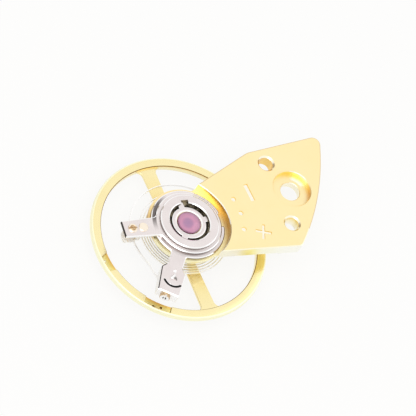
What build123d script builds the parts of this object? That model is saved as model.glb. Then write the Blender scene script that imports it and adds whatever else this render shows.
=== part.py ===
from build123d import *
import os
from math import atan2, cos, degrees, hypot, pi, radians, sin, sqrt

# A mechanical watch balance, complete with its cock. The cock is a flat gilt bridge that holds the
# upper jewels in a shock block. A regulator index and a stud carrier turn round that block, a flat
# hairspring runs from the stud to the collet, and the staff carries the wheel and both rollers.
# Millimetres. The origin is the tip of the lower pivot, +Z runs up the balance axis, and +X points
# from the axis towards the cock's screw hole.

# Gaps between pieces
SEAT_GAP = 0.005            # round a piece that is pressed or staked in its hole
RUN_GAP = 0.015             # round a piece that turns in or on another
SLIP_GAP = 0.010            # between flat faces that slide on each other
END_SHAKE = 0.010           # from the upper pivot's tip to the cap jewel
CUT_OVERRUN = 0.20          # how far a cutter runs past the face that it cuts

# Balance wheel
WHEEL_RADIUS = 5.00
RIM_WIDTH = 0.54
RIM_HEIGHT = 0.40
RIM_BEVEL = 0.06
ARM_THICKNESS = 0.15
ARM_RISE = 0.10             # from the rim's lower face up to the arms
ARM_ROOT_WIDTH = 0.62
ARM_TIP_WIDTH = 0.86
ARM_FILLET = 0.32
ARM_ANGLE = 86.0
ARM_COUNT = 2
WHEEL_HUB_RADIUS = 0.85
POISE_CUT_WIDTH = 0.36
POISE_CUT_DEPTH = 0.10
POISE_CUT_SPANS = ((174.0, 188.5), (217.0, 237.0))
POISE_DRILL_RADIUS = 0.09
POISE_DRILL_DEPTH = 0.10
POISE_DRILL_ANGLES = (224.0, 229.5)

# Balance staff
PIVOT_RADIUS = 0.05
PIVOT_LENGTH = 0.22
PIVOT_CONE_LENGTH = 0.13
ROLLER_SEAT_RADIUS = 0.20
ROLLER_SEAT_LENGTH = 0.77
STAFF_FLANGE_RADIUS = 0.60
STAFF_FLANGE_THICKNESS = 0.13
WHEEL_SEAT_RADIUS = 0.36
WHEEL_SEAT_PROUD = 0.06     # how far the wheel seat stands above the arms
COLLET_SEAT_RADIUS = 0.30
COLLET_SEAT_LENGTH = 0.84
STAFF_NECK_RADIUS = 0.20
STAFF_NECK_LENGTH = 0.30
UPPER_CONE_LENGTH = 0.20
UPPER_PIVOT_LENGTH = 0.23

# Rollers and impulse jewel
SAFETY_ROLLER_RADIUS = 0.36
SAFETY_ROLLER_THICKNESS = 0.16
SAFETY_ROLLER_LIFT = 0.05   # above the lower pivot's cone
SAFETY_NOTCH_RADIUS = 0.165
IMPULSE_ROLLER_RADIUS = 0.98
IMPULSE_ROLLER_THICKNESS = 0.18
IMPULSE_ROLLER_DROP = 0.05  # below the staff's flange
ROLLER_HUB_RADIUS = 0.38
ROLLER_WINDOW_WIDTH = 0.26
ROLLER_WINDOW_SPAN = 84.0
ROLLER_WINDOW_OFFSETS = (95.0, -95.0)
IMPULSE_PIN_PLACE = 0.74    # from the axis to the middle of the impulse jewel
IMPULSE_PIN_RADIUS = 0.12
IMPULSE_PIN_FLAT = 0.06     # from the jewel's middle to its flat
IMPULSE_PIN_LENGTH = 0.58
IMPULSE_ANGLE = -94.0

# Hairspring and collet
SPRING_THICKNESS = 0.04
SPRING_HEIGHT = 0.15
SPRING_LIFT = 0.40          # from the rim's upper face to the spring
SPRING_PACK_RADIUS = 2.50
SPRING_PACK_HALF_TURNS = 26
SPRING_PACK_END_ANGLE = -63.0
SPRING_OUTER_STEP = 0.50    # from the pack's last turn out to the outer turn
SPRING_OUTER_START_ANGLE = 57.0
SPRING_OUTER_END_ANGLE = 199.0
GAP_SAMPLE_ANGLE = 5.0
COLLET_RADIUS = 0.55
COLLET_HEIGHT = 0.40
COLLET_SLIT = 0.06

# Jewels and their setting
CAP_JEWEL_RADIUS = 0.66
CAP_JEWEL_HEIGHT = 0.25
CAP_JEWEL_EDGE = 0.12
HOLE_JEWEL_RADIUS = 0.42
HOLE_JEWEL_THICKNESS = 0.15
OIL_GAP = 0.04              # between the two jewels
OIL_CUP_RADIUS = 0.25
OIL_CUP_DEPTH = 0.05
SETTING_RADIUS = 0.92
SETTING_HEIGHT = 0.33
SETTING_RIM = 0.06          # how far the setting rises round the cap jewel
SETTING_BEVEL = 0.10
SETTING_OPENING_RADIUS = 0.30

# Shock block
FLANGE_RADIUS = 1.66
FLANGE_THICKNESS = 0.15
FLANGE_BEVEL = 0.03
BLOCK_NECK_RADIUS = 1.45
BLOCK_SPIGOT_RADIUS = 1.28
BLOCK_FLOOR = 0.16
BLOCK_MOUTH_RADIUS = 1.15
GROOVE_DEPTH = 0.18         # outwards from the mouth
BLOCK_WELL_RADIUS = 1.10
ENTRY_NOTCH_ANGLE = 77.0
ENTRY_NOTCH_WIDTH = 0.42

# Shock spring
SHOCK_SPRING_INNER = 0.70
SHOCK_SPRING_OUTER = 0.97
SHOCK_SPRING_THICKNESS = 0.06
SHOCK_GROOVE_GAP = 0.03     # above and below the lugs in the groove
LUG_WIDTH = 0.34
LUG_END_GAP = 0.05          # from a lug's end to the groove's wall
LUG_ANGLES = (87.0, -3.0, 228.0)

# Cock
COCK_THICKNESS = 0.65
FOOT_STEP = 0.08            # how far the foot stands below the rest of the cock
FOOT_START_RADIUS = 5.30
NOSE_RADIUS = 2.24
COCK_REACH = 9.94
COCK_LEFT_SIDE = 2.97
COCK_RIGHT_SIDE = 3.17
NOSE_LEFT_SHARE = (0.087, 0.592)
BEND_SHARE = (0.529, 1.000)
TIP_SHARE = (1.000, 0.939)
HEEL_SHARE = (0.564, -1.000)
NOSE_RIGHT_SHARE = (0.030, -0.647)
BACK_BULGE_SHARE = 0.060    # of the back edge's length
BEND_ROUND = 1.20
TIP_ROUND = 0.40
HEEL_ROUND = 0.30
COCK_BEVEL = 0.04
RECESS_RADIUS = 2.33
RECESS_EXIT_ANGLE = 20.0
SCREW_SHARE = (0.678, 0.071)
SCREW_HOLE_RADIUS = 0.55
SCREW_RECESS_RADIUS = 1.08
SCREW_RECESS_DEPTH = 0.32
PIN_HOLE_SHARES = ((0.607, 0.690), (0.573, -0.552))
PIN_HOLE_RADIUS = 0.40
PIN_HOLE_BEVEL = 0.09

# Regulator index, curb pin and key
INDEX_RADIUS = 1.88
INDEX_THICKNESS = 0.14
INDEX_ANGLE = 169.7
INDEX_REACH = 3.90
INDEX_ROOT_WIDTH = 1.24
INDEX_END_WIDTH = 0.98
INDEX_ROOT_FILLET = 0.30
STEEL_BEVEL = 0.025
POST_HEAD_RADIUS = 0.26
POST_HEAD_HEIGHT = 0.06
POST_HEAD_BEVEL = 0.02
CURB_PIN_GAP = 0.09         # from the pin out to the spring's outer turn
CURB_PIN_PACK_GAP = 0.03    # from the pin in to the spring's pack
CURB_PIN_SHORT = 0.02       # how far its end stays above the spring's lower edge
KEY_STEP = 0.35             # from the spring's outer turn out to the key's axis
KEY_SHANK_RADIUS = 0.16
KEY_SKIRT_RADIUS = 0.38
KEY_SKIRT_THICKNESS = 0.08
KEY_SKIRT_LIFT = 0.12       # above the spring
KEY_CHEEK_GAP = 0.04        # from the spring to the key's cheek
KEY_CHEEK_WIDTH = 0.24
KEY_CHEEK_BACK = 0.15       # behind the key's axis
KEY_FOOT_DROP = 0.07        # below the spring
KEY_FOOT_THICKNESS = 0.08
KEY_FOOT_REACH = 0.55       # from the key's axis, inwards under the spring
KEY_SLOT_WIDTH = 0.08
KEY_SLOT_DEPTH = 0.04

# Stud carrier, stud and stud screw
CARRIER_RADIUS = 2.10
CARRIER_THICKNESS = 0.14
CARRIER_GAP_START = -19.0
CARRIER_GAP_END = 3.0
CARRIER_TIP_ROUND = 0.10
CARRIER_ANGLE = 227.5
NECK_WIDTH = 0.86
NECK_END = 2.86             # from the axis
HEAD_START = 3.18
HEAD_WIDTH = 1.38
HEAD_TAPER = 0.16            # the head's end is narrower by this on one side
HEAD_END = 4.68
HEAD_HEIGHT = 0.63
STUD_PLACE = 3.60
STUD_OFFSET = 0.12          # sideways from the middle of the carrier's head
STUD_RADIUS = 0.26
STUD_ROUND = 0.04
STUD_PROUD = 0.02
STUD_DROP = 0.07            # below the spring
STUD_SLIT_GAP = 0.01        # each side of the spring
SPRING_TAIL = 0.10          # how far the spring runs past the middle of the stud
CARRIER_SLOT_RADIUS = 0.57
CARRIER_SLOT_WIDTH = 0.09
CARRIER_SLOT_DEPTH = 0.18
CARRIER_SLOT_SPAN = 105.0
STUD_SCREW_RADIUS = 0.12
STUD_SCREW_DROP = 0.36      # from the carrier's upper face to the screw
STUD_SCREW_HEAD_RADIUS = 0.28
STUD_SCREW_HEAD = 0.18
STUD_SCREW_SLOT = 0.08

# Heights up the balance axis
lower_shoulder = PIVOT_LENGTH + PIVOT_CONE_LENGTH
staff_flange_bottom = lower_shoulder + ROLLER_SEAT_LENGTH
arm_bottom = staff_flange_bottom + STAFF_FLANGE_THICKNESS
arm_top = arm_bottom + ARM_THICKNESS
rim_bottom = arm_bottom - ARM_RISE
rim_top = rim_bottom + RIM_HEIGHT
wheel_seat_top = arm_top + WHEEL_SEAT_PROUD
collet_seat_top = wheel_seat_top + COLLET_SEAT_LENGTH
staff_neck_top = collet_seat_top + STAFF_NECK_LENGTH
upper_pivot_bottom = staff_neck_top + UPPER_CONE_LENGTH
staff_top = upper_pivot_bottom + UPPER_PIVOT_LENGTH
spring_bottom = rim_top + SPRING_LIFT
spring_top = spring_bottom + SPRING_HEIGHT
spring_middle = spring_bottom + SPRING_HEIGHT / 2
cap_jewel_bottom = staff_top + END_SHAKE
hole_jewel_top = cap_jewel_bottom - OIL_GAP
hole_jewel_bottom = hole_jewel_top - HOLE_JEWEL_THICKNESS
setting_top = cap_jewel_bottom + SETTING_RIM
setting_bottom = setting_top - SETTING_HEIGHT
block_bottom = setting_bottom - BLOCK_FLOOR
cock_top = cap_jewel_bottom + CAP_JEWEL_HEIGHT
flange_bottom = cock_top - FLANGE_THICKNESS
index_top = flange_bottom - SLIP_GAP
index_bottom = index_top - INDEX_THICKNESS
carrier_top = index_bottom - SLIP_GAP
carrier_bottom = carrier_top - CARRIER_THICKNESS
recess_floor = carrier_bottom - SLIP_GAP
cock_bottom = cock_top - COCK_THICKNESS
foot_bottom = cock_bottom - FOOT_STEP
screw_seat = cock_top - SCREW_RECESS_DEPTH
groove_bottom = setting_top - SHOCK_GROOVE_GAP
groove_top = setting_top + SHOCK_SPRING_THICKNESS + SHOCK_GROOVE_GAP
shock_spring_top = setting_top + SHOCK_SPRING_THICKNESS
head_bottom = carrier_top - HEAD_HEIGHT
stud_screw_height = carrier_top - STUD_SCREW_DROP
safety_roller_bottom = lower_shoulder + SAFETY_ROLLER_LIFT
impulse_roller_top = staff_flange_bottom - IMPULSE_ROLLER_DROP
impulse_roller_bottom = impulse_roller_top - IMPULSE_ROLLER_THICKNESS

# Radii that follow from the sizes above
rim_inner_radius = WHEEL_RADIUS - RIM_WIDTH
groove_radius = BLOCK_MOUTH_RADIUS + GROOVE_DEPTH
ring_bore = BLOCK_NECK_RADIUS + RUN_GAP
hole_jewel_bore = PIVOT_RADIUS + RUN_GAP
spring_start_radius = COLLET_RADIUS + SPRING_THICKNESS / 2
spring_pitch = (SPRING_PACK_RADIUS - spring_start_radius) * 2 / SPRING_PACK_HALF_TURNS
spring_outer_radius = SPRING_PACK_RADIUS + SPRING_OUTER_STEP
curb_pin_radius = (SPRING_OUTER_STEP - SPRING_THICKNESS - CURB_PIN_GAP - CURB_PIN_PACK_GAP) / 2
curb_pin_place = spring_outer_radius - SPRING_THICKNESS / 2 - CURB_PIN_GAP - curb_pin_radius
key_place = spring_outer_radius + KEY_STEP

ON_BASE = (Align.CENTER, Align.CENTER, Align.MIN)
FROM_EDGE = (Align.MIN, Align.CENTER)


# General shapes
def polar(radius, angle):
    """The point at a radius and an angle in degrees from +X."""
    return Vector(radius * cos(radians(angle)), radius * sin(radians(angle)))


def along(angle, forward, aside=0):
    """The point at a distance forward along a direction, and aside to its left."""
    return polar(forward, angle) + polar(aside, angle + 90)


def disc(radius, bottom, top, centre=(0, 0)):
    """An upright cylinder between two heights."""
    height = top - bottom
    return Pos(centre[0], centre[1], bottom) * Cylinder(radius, height, align=ON_BASE)


def ring(outer, inner, bottom, top):
    """An upright tube between two heights, round the balance axis."""
    return disc(outer, bottom, top) - disc(inner, bottom - CUT_OVERRUN, top + CUT_OVERRUN)


def slab(face, bottom, top):
    """A flat outline raised between two heights."""
    return Pos(0, 0, bottom) * extrude(face, top - bottom)


def turned(*corners):
    """A turned solid from the (radius, height) corners of its half section."""
    outline = Polyline(*[(radius, 0, height) for radius, height in corners], close=True)
    return revolve(make_face(outline), Axis.Z)


def sector(radius, start, end):
    """A pie slice from the axis, narrower than half a turn, as a flat outline."""
    middle = (start + end) / 2
    rim = ThreePointArc(polar(radius, start), polar(radius, middle), polar(radius, end))
    return make_face([Line((0, 0), polar(radius, start)), rim, Line(polar(radius, end), (0, 0))])


def bar(length, width, angle, start=0, aside=0):
    """A flat rectangle that runs out from the axis along a direction."""
    corner = along(angle, start, aside)
    return Pos(corner.X, corner.Y) * Rot(Z=angle) * Rectangle(length, width, align=FROM_EDGE)


def top_edges(solid, height):
    """The edges that lie at one height."""
    return solid.edges().filter_by_position(Axis.Z, height, height)


def corners_near(face, points):
    """The corner of a flat outline that is nearest to each point."""
    return [min(face.vertices(), key=lambda corner: (Vector(corner) - Vector(point)).length)
            for point in points]


# Balance wheel, staff, rollers and collet
def wheel_arm(angle):
    """One tapered arm from the axis into the rim, as a flat outline."""
    reach = rim_inner_radius + RIM_WIDTH / 2
    root = ARM_ROOT_WIDTH / 2
    tip = ARM_TIP_WIDTH / 2
    corners = [along(angle, 0, root), along(angle, reach, tip),
               along(angle, reach, -tip), along(angle, 0, -root)]
    return make_face(Polyline(*corners, close=True))


def poise_cut(start, end):
    """The pocket milled into the rim's inner upper edge between two angles."""
    reach = rim_inner_radius + POISE_CUT_WIDTH
    return slab(sector(reach, start, end), rim_top - POISE_CUT_DEPTH, rim_top + CUT_OVERRUN)


def poise_drill(angle):
    """A shallow drilled spot in the floor of a poising pocket."""
    centre = polar(rim_inner_radius + POISE_CUT_WIDTH / 2, angle)
    floor = rim_top - POISE_CUT_DEPTH
    bottom = floor - POISE_DRILL_DEPTH
    return disc(POISE_DRILL_RADIUS, bottom, floor + CUT_OVERRUN, (centre.X, centre.Y))


def balance_wheel():
    """Rim, two arms and hub, milled from one piece."""
    rim = ring(WHEEL_RADIUS, rim_inner_radius, rim_bottom, rim_top)
    rim = chamfer(rim.edges().filter_by(GeomType.CIRCLE), RIM_BEVEL)
    web = Circle(rim_inner_radius + RIM_WIDTH / 2) - Circle(rim_inner_radius)
    for index in range(ARM_COUNT):
        web += wheel_arm(ARM_ANGLE + index * 360 / ARM_COUNT)
    inner = [corner for corner in web.vertices()
             if abs(hypot(corner.X, corner.Y) - rim_inner_radius) < RIM_BEVEL]
    web = fillet(inner, ARM_FILLET)
    web += Circle(WHEEL_HUB_RADIUS)
    wheel = rim + slab(web, arm_bottom, arm_top)
    wheel -= disc(WHEEL_SEAT_RADIUS + SEAT_GAP, arm_bottom - CUT_OVERRUN, arm_top + CUT_OVERRUN)
    for start, end in POISE_CUT_SPANS:
        wheel -= poise_cut(start, end)
    for angle in POISE_DRILL_ANGLES:
        wheel -= poise_drill(angle)
    return wheel


def balance_staff():
    """The turned axle, with a pivot at each end and a seat for each piece on it."""
    return turned(
        (0, 0), (PIVOT_RADIUS, 0), (PIVOT_RADIUS, PIVOT_LENGTH), (ROLLER_SEAT_RADIUS, lower_shoulder),
        (ROLLER_SEAT_RADIUS, staff_flange_bottom), (STAFF_FLANGE_RADIUS, staff_flange_bottom),
        (STAFF_FLANGE_RADIUS, arm_bottom), (WHEEL_SEAT_RADIUS, arm_bottom),
        (WHEEL_SEAT_RADIUS, wheel_seat_top), (COLLET_SEAT_RADIUS, wheel_seat_top),
        (COLLET_SEAT_RADIUS, collet_seat_top), (STAFF_NECK_RADIUS, collet_seat_top),
        (STAFF_NECK_RADIUS, staff_neck_top), (PIVOT_RADIUS, upper_pivot_bottom),
        (PIVOT_RADIUS, staff_top), (0, staff_top))


def impulse_pin_outline(gap):
    """The impulse jewel's half-round section, grown by a gap."""
    radius = IMPULSE_PIN_RADIUS + gap
    flat = IMPULSE_PIN_FLAT + gap
    middle = polar(IMPULSE_PIN_PLACE, IMPULSE_ANGLE)
    half = Rectangle(radius * 2, radius * 2, align=(Align.MAX, Align.CENTER))
    section = Circle(radius) & Pos(flat, 0) * half
    return Pos(middle.X, middle.Y) * Rot(Z=IMPULSE_ANGLE) * section


def roller_window(middle):
    """A curved window that lightens the impulse roller, as a flat outline."""
    half = ROLLER_WINDOW_SPAN / 2
    outer = (ROLLER_HUB_RADIUS + IMPULSE_ROLLER_RADIUS + ROLLER_WINDOW_WIDTH) / 2
    inner = outer - ROLLER_WINDOW_WIDTH
    return sector(outer, middle - half, middle + half) - Circle(inner)


def impulse_roller():
    """The larger roller, which holds the impulse jewel."""
    plan = Circle(IMPULSE_ROLLER_RADIUS) - Circle(ROLLER_SEAT_RADIUS + SEAT_GAP)
    plan -= impulse_pin_outline(SEAT_GAP)
    for offset in ROLLER_WINDOW_OFFSETS:
        plan -= roller_window(IMPULSE_ANGLE + offset)
    return slab(plan, impulse_roller_bottom, impulse_roller_top)


def impulse_jewel():
    """The half-round ruby pin that hangs from the impulse roller."""
    return slab(impulse_pin_outline(0), impulse_roller_top - IMPULSE_PIN_LENGTH, impulse_roller_top)


def safety_roller():
    """The small roller below, with the passing hollow in line with the impulse jewel."""
    hollow = polar(SAFETY_ROLLER_RADIUS, IMPULSE_ANGLE)
    plan = Circle(SAFETY_ROLLER_RADIUS) - Circle(ROLLER_SEAT_RADIUS + SEAT_GAP)
    plan -= Pos(hollow.X, hollow.Y) * Circle(SAFETY_NOTCH_RADIUS)
    return slab(plan, safety_roller_bottom, safety_roller_bottom + SAFETY_ROLLER_THICKNESS)


def hairspring_collet():
    """The split brass collet that grips the staff and holds the spring's inner end."""
    collet = ring(COLLET_RADIUS, COLLET_SEAT_RADIUS + SEAT_GAP,
                  spring_middle - COLLET_HEIGHT / 2, spring_middle + COLLET_HEIGHT / 2)
    slit = bar(COLLET_RADIUS * 2, COLLET_SLIT, SPRING_PACK_END_ANGLE + 180)
    return collet - slab(slit, spring_bottom - COLLET_HEIGHT, spring_top + COLLET_HEIGHT)


# Hairspring
def biarc(start, start_tangent, end, end_tangent):
    """Two arcs that join two points and are tangent to both directions and to each other."""
    chord = end - start
    tangents = start_tangent + end_tangent
    square = 2 * (start_tangent.dot(end_tangent) - 1)
    slope = -2 * chord.dot(tangents)
    reach = (-slope - sqrt(slope ** 2 - 4 * square * chord.dot(chord))) / (2 * square)
    if reach < 0:
        reach = (-slope + sqrt(slope ** 2 - 4 * square * chord.dot(chord))) / (2 * square)
    joint = (start + start_tangent * reach + end - end_tangent * reach) / 2
    first = TangentArc(start, joint, tangent=start_tangent)
    return [first, TangentArc(joint, end, tangent=first % 1)]


def coil_half_turn(index):
    """One half turn of the spring's pack, counted from the collet."""
    start_angle = SPRING_PACK_END_ANGLE - 180 * (SPRING_PACK_HALF_TURNS - index)
    shift = polar(spring_pitch / 4, start_angle + 180)
    radius = spring_start_radius + spring_pitch / 4 + index * spring_pitch / 2
    points = [shift + polar(radius, start_angle + turn) for turn in (0, 90, 180)]
    return ThreePointArc(*points)


def hairspring_path():
    """The line down the middle of the strip, from the collet to the stud."""
    pack = [coil_half_turn(index) for index in range(SPRING_PACK_HALF_TURNS)]
    pack_end = pack[-1] @ 1
    outer_start = polar(spring_outer_radius, SPRING_OUTER_START_ANGLE)
    outer_middle = polar(spring_outer_radius, (SPRING_OUTER_START_ANGLE + SPRING_OUTER_END_ANGLE) / 2)
    outer_end = polar(spring_outer_radius, SPRING_OUTER_END_ANGLE)
    sweep_out = biarc(pack_end, polar(1, SPRING_PACK_END_ANGLE + 90),
                      outer_start, polar(1, SPRING_OUTER_START_ANGLE + 90))
    outer = ThreePointArc(outer_start, outer_middle, outer_end)
    to_stud = biarc(outer_end, polar(1, SPRING_OUTER_END_ANGLE + 90),
                    stud_centre(), polar(1, stud_angle() + 90))
    tail = Line(stud_centre(), stud_centre() + polar(SPRING_TAIL, stud_angle() + 90))
    return pack + sweep_out + [outer] + to_stud + [tail]


def least_gap(path):
    """The least clear space between two turns of the strip, from points along its middle."""
    points = []
    travelled = 0
    for edge in path:
        radius = edge.radius if edge.geom_type == GeomType.CIRCLE else edge.length
        count = max(2, round(degrees(edge.length / radius) / GAP_SAMPLE_ANGLE))
        for step in range(count):
            points.append((travelled + edge.length * step / count, edge @ (step / count)))
        travelled += edge.length
    least = travelled
    for place, point in points:
        half_turn = pi * hypot(point.X, point.Y)
        for other_place, other in points:
            if other_place - place > half_turn:
                least = min(least, (other - point).length)
    return least - SPRING_THICKNESS


def hairspring():
    """The flat spiral strip."""
    path = hairspring_path()
    print("hairspring length", round(sum(edge.length for edge in path), 2),
          "least gap between turns", round(least_gap(path), 3))
    wire = Pos(0, 0, spring_middle) * Wire(path)
    start = Plane(origin=wire @ 0, x_dir=(0, 0, 1), z_dir=wire % 0)
    return sweep(start * Rectangle(SPRING_HEIGHT, SPRING_THICKNESS), path=wire)


# Jewels, their setting and the shock block
def cap_jewel():
    """The domed cap jewel that stops the pivot's end."""
    edge = cap_jewel_bottom + CAP_JEWEL_EDGE
    crown = cap_jewel_bottom + CAP_JEWEL_HEIGHT
    rise = crown - edge
    sphere_radius = (CAP_JEWEL_RADIUS ** 2 + rise ** 2) / (2 * rise)
    half = CAP_JEWEL_RADIUS / 2
    half_height = crown - sphere_radius + sqrt(sphere_radius ** 2 - half ** 2)
    dome = ThreePointArc((CAP_JEWEL_RADIUS, 0, edge), (half, 0, half_height), (0, 0, crown))
    sides = Polyline((0, 0, crown), (0, 0, cap_jewel_bottom), (CAP_JEWEL_RADIUS, 0, cap_jewel_bottom),
                     (CAP_JEWEL_RADIUS, 0, edge))
    return revolve(make_face([dome, sides]), Axis.Z)


def hole_jewel():
    """The pierced jewel that guides the upper pivot, with its oil cup."""
    return turned(
        (hole_jewel_bore, hole_jewel_bottom), (HOLE_JEWEL_RADIUS, hole_jewel_bottom),
        (HOLE_JEWEL_RADIUS, hole_jewel_top), (OIL_CUP_RADIUS, hole_jewel_top),
        (hole_jewel_bore, hole_jewel_top - OIL_CUP_DEPTH))


def jewel_setting():
    """The gilt ring that holds both jewels and lifts in the block under a shock."""
    bore = HOLE_JEWEL_RADIUS + SEAT_GAP
    mouth = CAP_JEWEL_RADIUS + SEAT_GAP
    return turned(
        (SETTING_OPENING_RADIUS, setting_bottom), (SETTING_RADIUS - SETTING_BEVEL, setting_bottom),
        (SETTING_RADIUS, setting_bottom + SETTING_BEVEL), (SETTING_RADIUS, setting_top),
        (mouth, setting_top), (mouth, cap_jewel_bottom), (bore, cap_jewel_bottom),
        (bore, hole_jewel_bottom), (SETTING_OPENING_RADIUS, hole_jewel_bottom))


def shock_block():
    """The steel block in the cock's nose, flanged above the two rings that turn round it."""
    block = disc(FLANGE_RADIUS, flange_bottom, cock_top)
    block = chamfer(top_edges(block, cock_top), FLANGE_BEVEL)
    block += disc(BLOCK_NECK_RADIUS, recess_floor, flange_bottom)
    block += disc(BLOCK_SPIGOT_RADIUS, block_bottom, recess_floor)
    block -= disc(BLOCK_WELL_RADIUS, setting_bottom, cock_top)
    block -= disc(SETTING_OPENING_RADIUS, block_bottom - CUT_OVERRUN, setting_bottom)
    block -= disc(groove_radius, groove_bottom, groove_top)
    block -= disc(BLOCK_MOUTH_RADIUS, groove_top - SHOCK_GROOVE_GAP, cock_top + CUT_OVERRUN)
    notch = bar(groove_radius, ENTRY_NOTCH_WIDTH, ENTRY_NOTCH_ANGLE)
    return block - slab(notch, groove_top - SHOCK_GROOVE_GAP, cock_top + CUT_OVERRUN)


def shock_spring():
    """The three-lugged spring that holds the setting down and locks under the block's lip."""
    plan = Circle(SHOCK_SPRING_OUTER)
    for angle in LUG_ANGLES:
        plan += bar(groove_radius - LUG_END_GAP, LUG_WIDTH, angle)
    plan -= Circle(SHOCK_SPRING_INNER)
    return slab(plan, setting_top, shock_spring_top)


# Cock
def cock_point(share):
    """A place on the cock, from its shares of the reach and of the side that it lies on."""
    side = COCK_LEFT_SIDE if share[1] > 0 else COCK_RIGHT_SIDE
    return Vector(share[0] * COCK_REACH, share[1] * side)


def cock_outline():
    """The cock seen from above, with its round nose."""
    bend = cock_point(BEND_SHARE)
    tip = cock_point(TIP_SHARE)
    heel = cock_point(HEEL_SHARE)
    back = heel - tip
    outwards = Vector(-back.Y, back.X).normalized()
    bulge = (tip + heel) / 2 + outwards * back.length * BACK_BULGE_SHARE
    front = Polyline(heel, cock_point(NOSE_RIGHT_SHARE), cock_point(NOSE_LEFT_SHARE), bend, tip)
    body = make_face([front, ThreePointArc(tip, bulge, heel)])
    body = fillet(corners_near(body, [bend]), BEND_ROUND)
    body = fillet(corners_near(body, [tip]), TIP_ROUND)
    body = fillet(corners_near(body, [heel]), HEEL_ROUND)
    return body + Circle(NOSE_RADIUS)


def nose_recess():
    """The round recess for the rings, which runs out straight through the cock's left side."""
    way_out = Rectangle(RECESS_RADIUS, COCK_LEFT_SIDE, align=(Align.MIN, Align.MIN))
    plan = Circle(RECESS_RADIUS) + Rot(Z=RECESS_EXIT_ANGLE) * way_out
    return slab(plan, recess_floor, cock_top + CUT_OVERRUN)


def pin_hole(share):
    """A through hole for one of the plate's steady pins, bevelled at the top."""
    place = cock_point(share)
    hole = turned(
        (0, foot_bottom - CUT_OVERRUN), (PIN_HOLE_RADIUS, foot_bottom - CUT_OVERRUN),
        (PIN_HOLE_RADIUS, cock_top - PIN_HOLE_BEVEL), (PIN_HOLE_RADIUS + PIN_HOLE_BEVEL, cock_top),
        (PIN_HOLE_RADIUS + PIN_HOLE_BEVEL, cock_top + CUT_OVERRUN), (0, cock_top + CUT_OVERRUN))
    return Pos(place.X, place.Y) * hole


def balance_cock():
    """The gilt bridge, with a stepped foot, a ring recess, a screw recess and two pin holes."""
    cock = slab(cock_outline(), foot_bottom, cock_top)
    cock = chamfer(top_edges(cock, cock_top), COCK_BEVEL)
    cock -= disc(FOOT_START_RADIUS, foot_bottom - CUT_OVERRUN, cock_bottom)
    cock -= nose_recess()
    cock -= disc(BLOCK_SPIGOT_RADIUS + SEAT_GAP, foot_bottom - CUT_OVERRUN, cock_top)
    screw = cock_point(SCREW_SHARE)
    cock -= disc(SCREW_HOLE_RADIUS, foot_bottom - CUT_OVERRUN, cock_top, (screw.X, screw.Y))
    cock -= disc(SCREW_RECESS_RADIUS, screw_seat, cock_top + CUT_OVERRUN, (screw.X, screw.Y))
    for share in PIN_HOLE_SHARES:
        cock -= pin_hole(share)
    return cock


# Regulator
def regulator_index():
    """The upper steel ring and its arm, which shortens or frees the spring's outer turn."""
    root = INDEX_ROOT_WIDTH / 2
    end = INDEX_END_WIDTH / 2
    corners = [along(INDEX_ANGLE, 0, root), along(INDEX_ANGLE, INDEX_REACH, end),
               along(INDEX_ANGLE, INDEX_REACH, -end), along(INDEX_ANGLE, 0, -root)]
    plan = Circle(INDEX_RADIUS) + make_face(Polyline(*corners, close=True))
    root_corners = [corner for corner in plan.vertices()
                    if abs(hypot(corner.X, corner.Y) - INDEX_RADIUS) < STEEL_BEVEL]
    plan = fillet(root_corners, INDEX_ROOT_FILLET)
    index = slab(plan, index_bottom, index_top)
    index = chamfer(top_edges(index, index_top), STEEL_BEVEL)
    index -= disc(ring_bore, index_bottom - CUT_OVERRUN, index_top + CUT_OVERRUN)
    posts = ((curb_pin_place, curb_pin_radius + SEAT_GAP), (key_place, KEY_SHANK_RADIUS + RUN_GAP))
    for place, radius in posts:
        centre = polar(place, INDEX_ANGLE)
        index -= disc(radius, index_bottom - CUT_OVERRUN, index_top + CUT_OVERRUN, (centre.X, centre.Y))
    return index


def post_head():
    """The bevelled head of a post that stands on the index, on the post's own axis."""
    head = disc(POST_HEAD_RADIUS, index_top, index_top + POST_HEAD_HEIGHT)
    return chamfer(top_edges(head, index_top + POST_HEAD_HEIGHT), POST_HEAD_BEVEL)


def curb_pin():
    """The brass post inside the spring's outer turn."""
    post = post_head() + disc(curb_pin_radius, spring_bottom + CURB_PIN_SHORT, index_top)
    centre = polar(curb_pin_place, INDEX_ANGLE)
    return Pos(centre.X, centre.Y) * post


def regulator_key():
    """The turning post outside the spring, whose foot closes the gap below it."""
    inwards = INDEX_ANGLE + 180
    shank_bottom = spring_top + KEY_SKIRT_LIFT
    key_foot_top = spring_bottom - KEY_FOOT_DROP
    key_foot_bottom = key_foot_top - KEY_FOOT_THICKNESS
    cheek_reach = KEY_STEP - SPRING_THICKNESS / 2 - KEY_CHEEK_GAP
    cheek = bar(cheek_reach + KEY_CHEEK_BACK, KEY_CHEEK_WIDTH, inwards, -KEY_CHEEK_BACK)
    foot = bar(KEY_FOOT_REACH + KEY_CHEEK_BACK, KEY_CHEEK_WIDTH, inwards, -KEY_CHEEK_BACK)
    key = post_head() + disc(KEY_SHANK_RADIUS, shank_bottom, index_top)
    key += disc(KEY_SKIRT_RADIUS, shank_bottom, shank_bottom + KEY_SKIRT_THICKNESS)
    key += slab(cheek, key_foot_bottom, shank_bottom + KEY_SKIRT_THICKNESS)
    key += slab(foot, key_foot_bottom, key_foot_top)
    head_top = index_top + POST_HEAD_HEIGHT
    slot = Rot(Z=INDEX_ANGLE) * Rectangle(POST_HEAD_RADIUS * 2 + CUT_OVERRUN, KEY_SLOT_WIDTH)
    key -= slab(slot, head_top - KEY_SLOT_DEPTH, head_top + CUT_OVERRUN)
    centre = polar(key_place, INDEX_ANGLE)
    return Pos(centre.X, centre.Y) * key


# Stud carrier
def stud_centre():
    """Where the stud stands in the carrier's head."""
    return along(CARRIER_ANGLE, STUD_PLACE, STUD_OFFSET)


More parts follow.
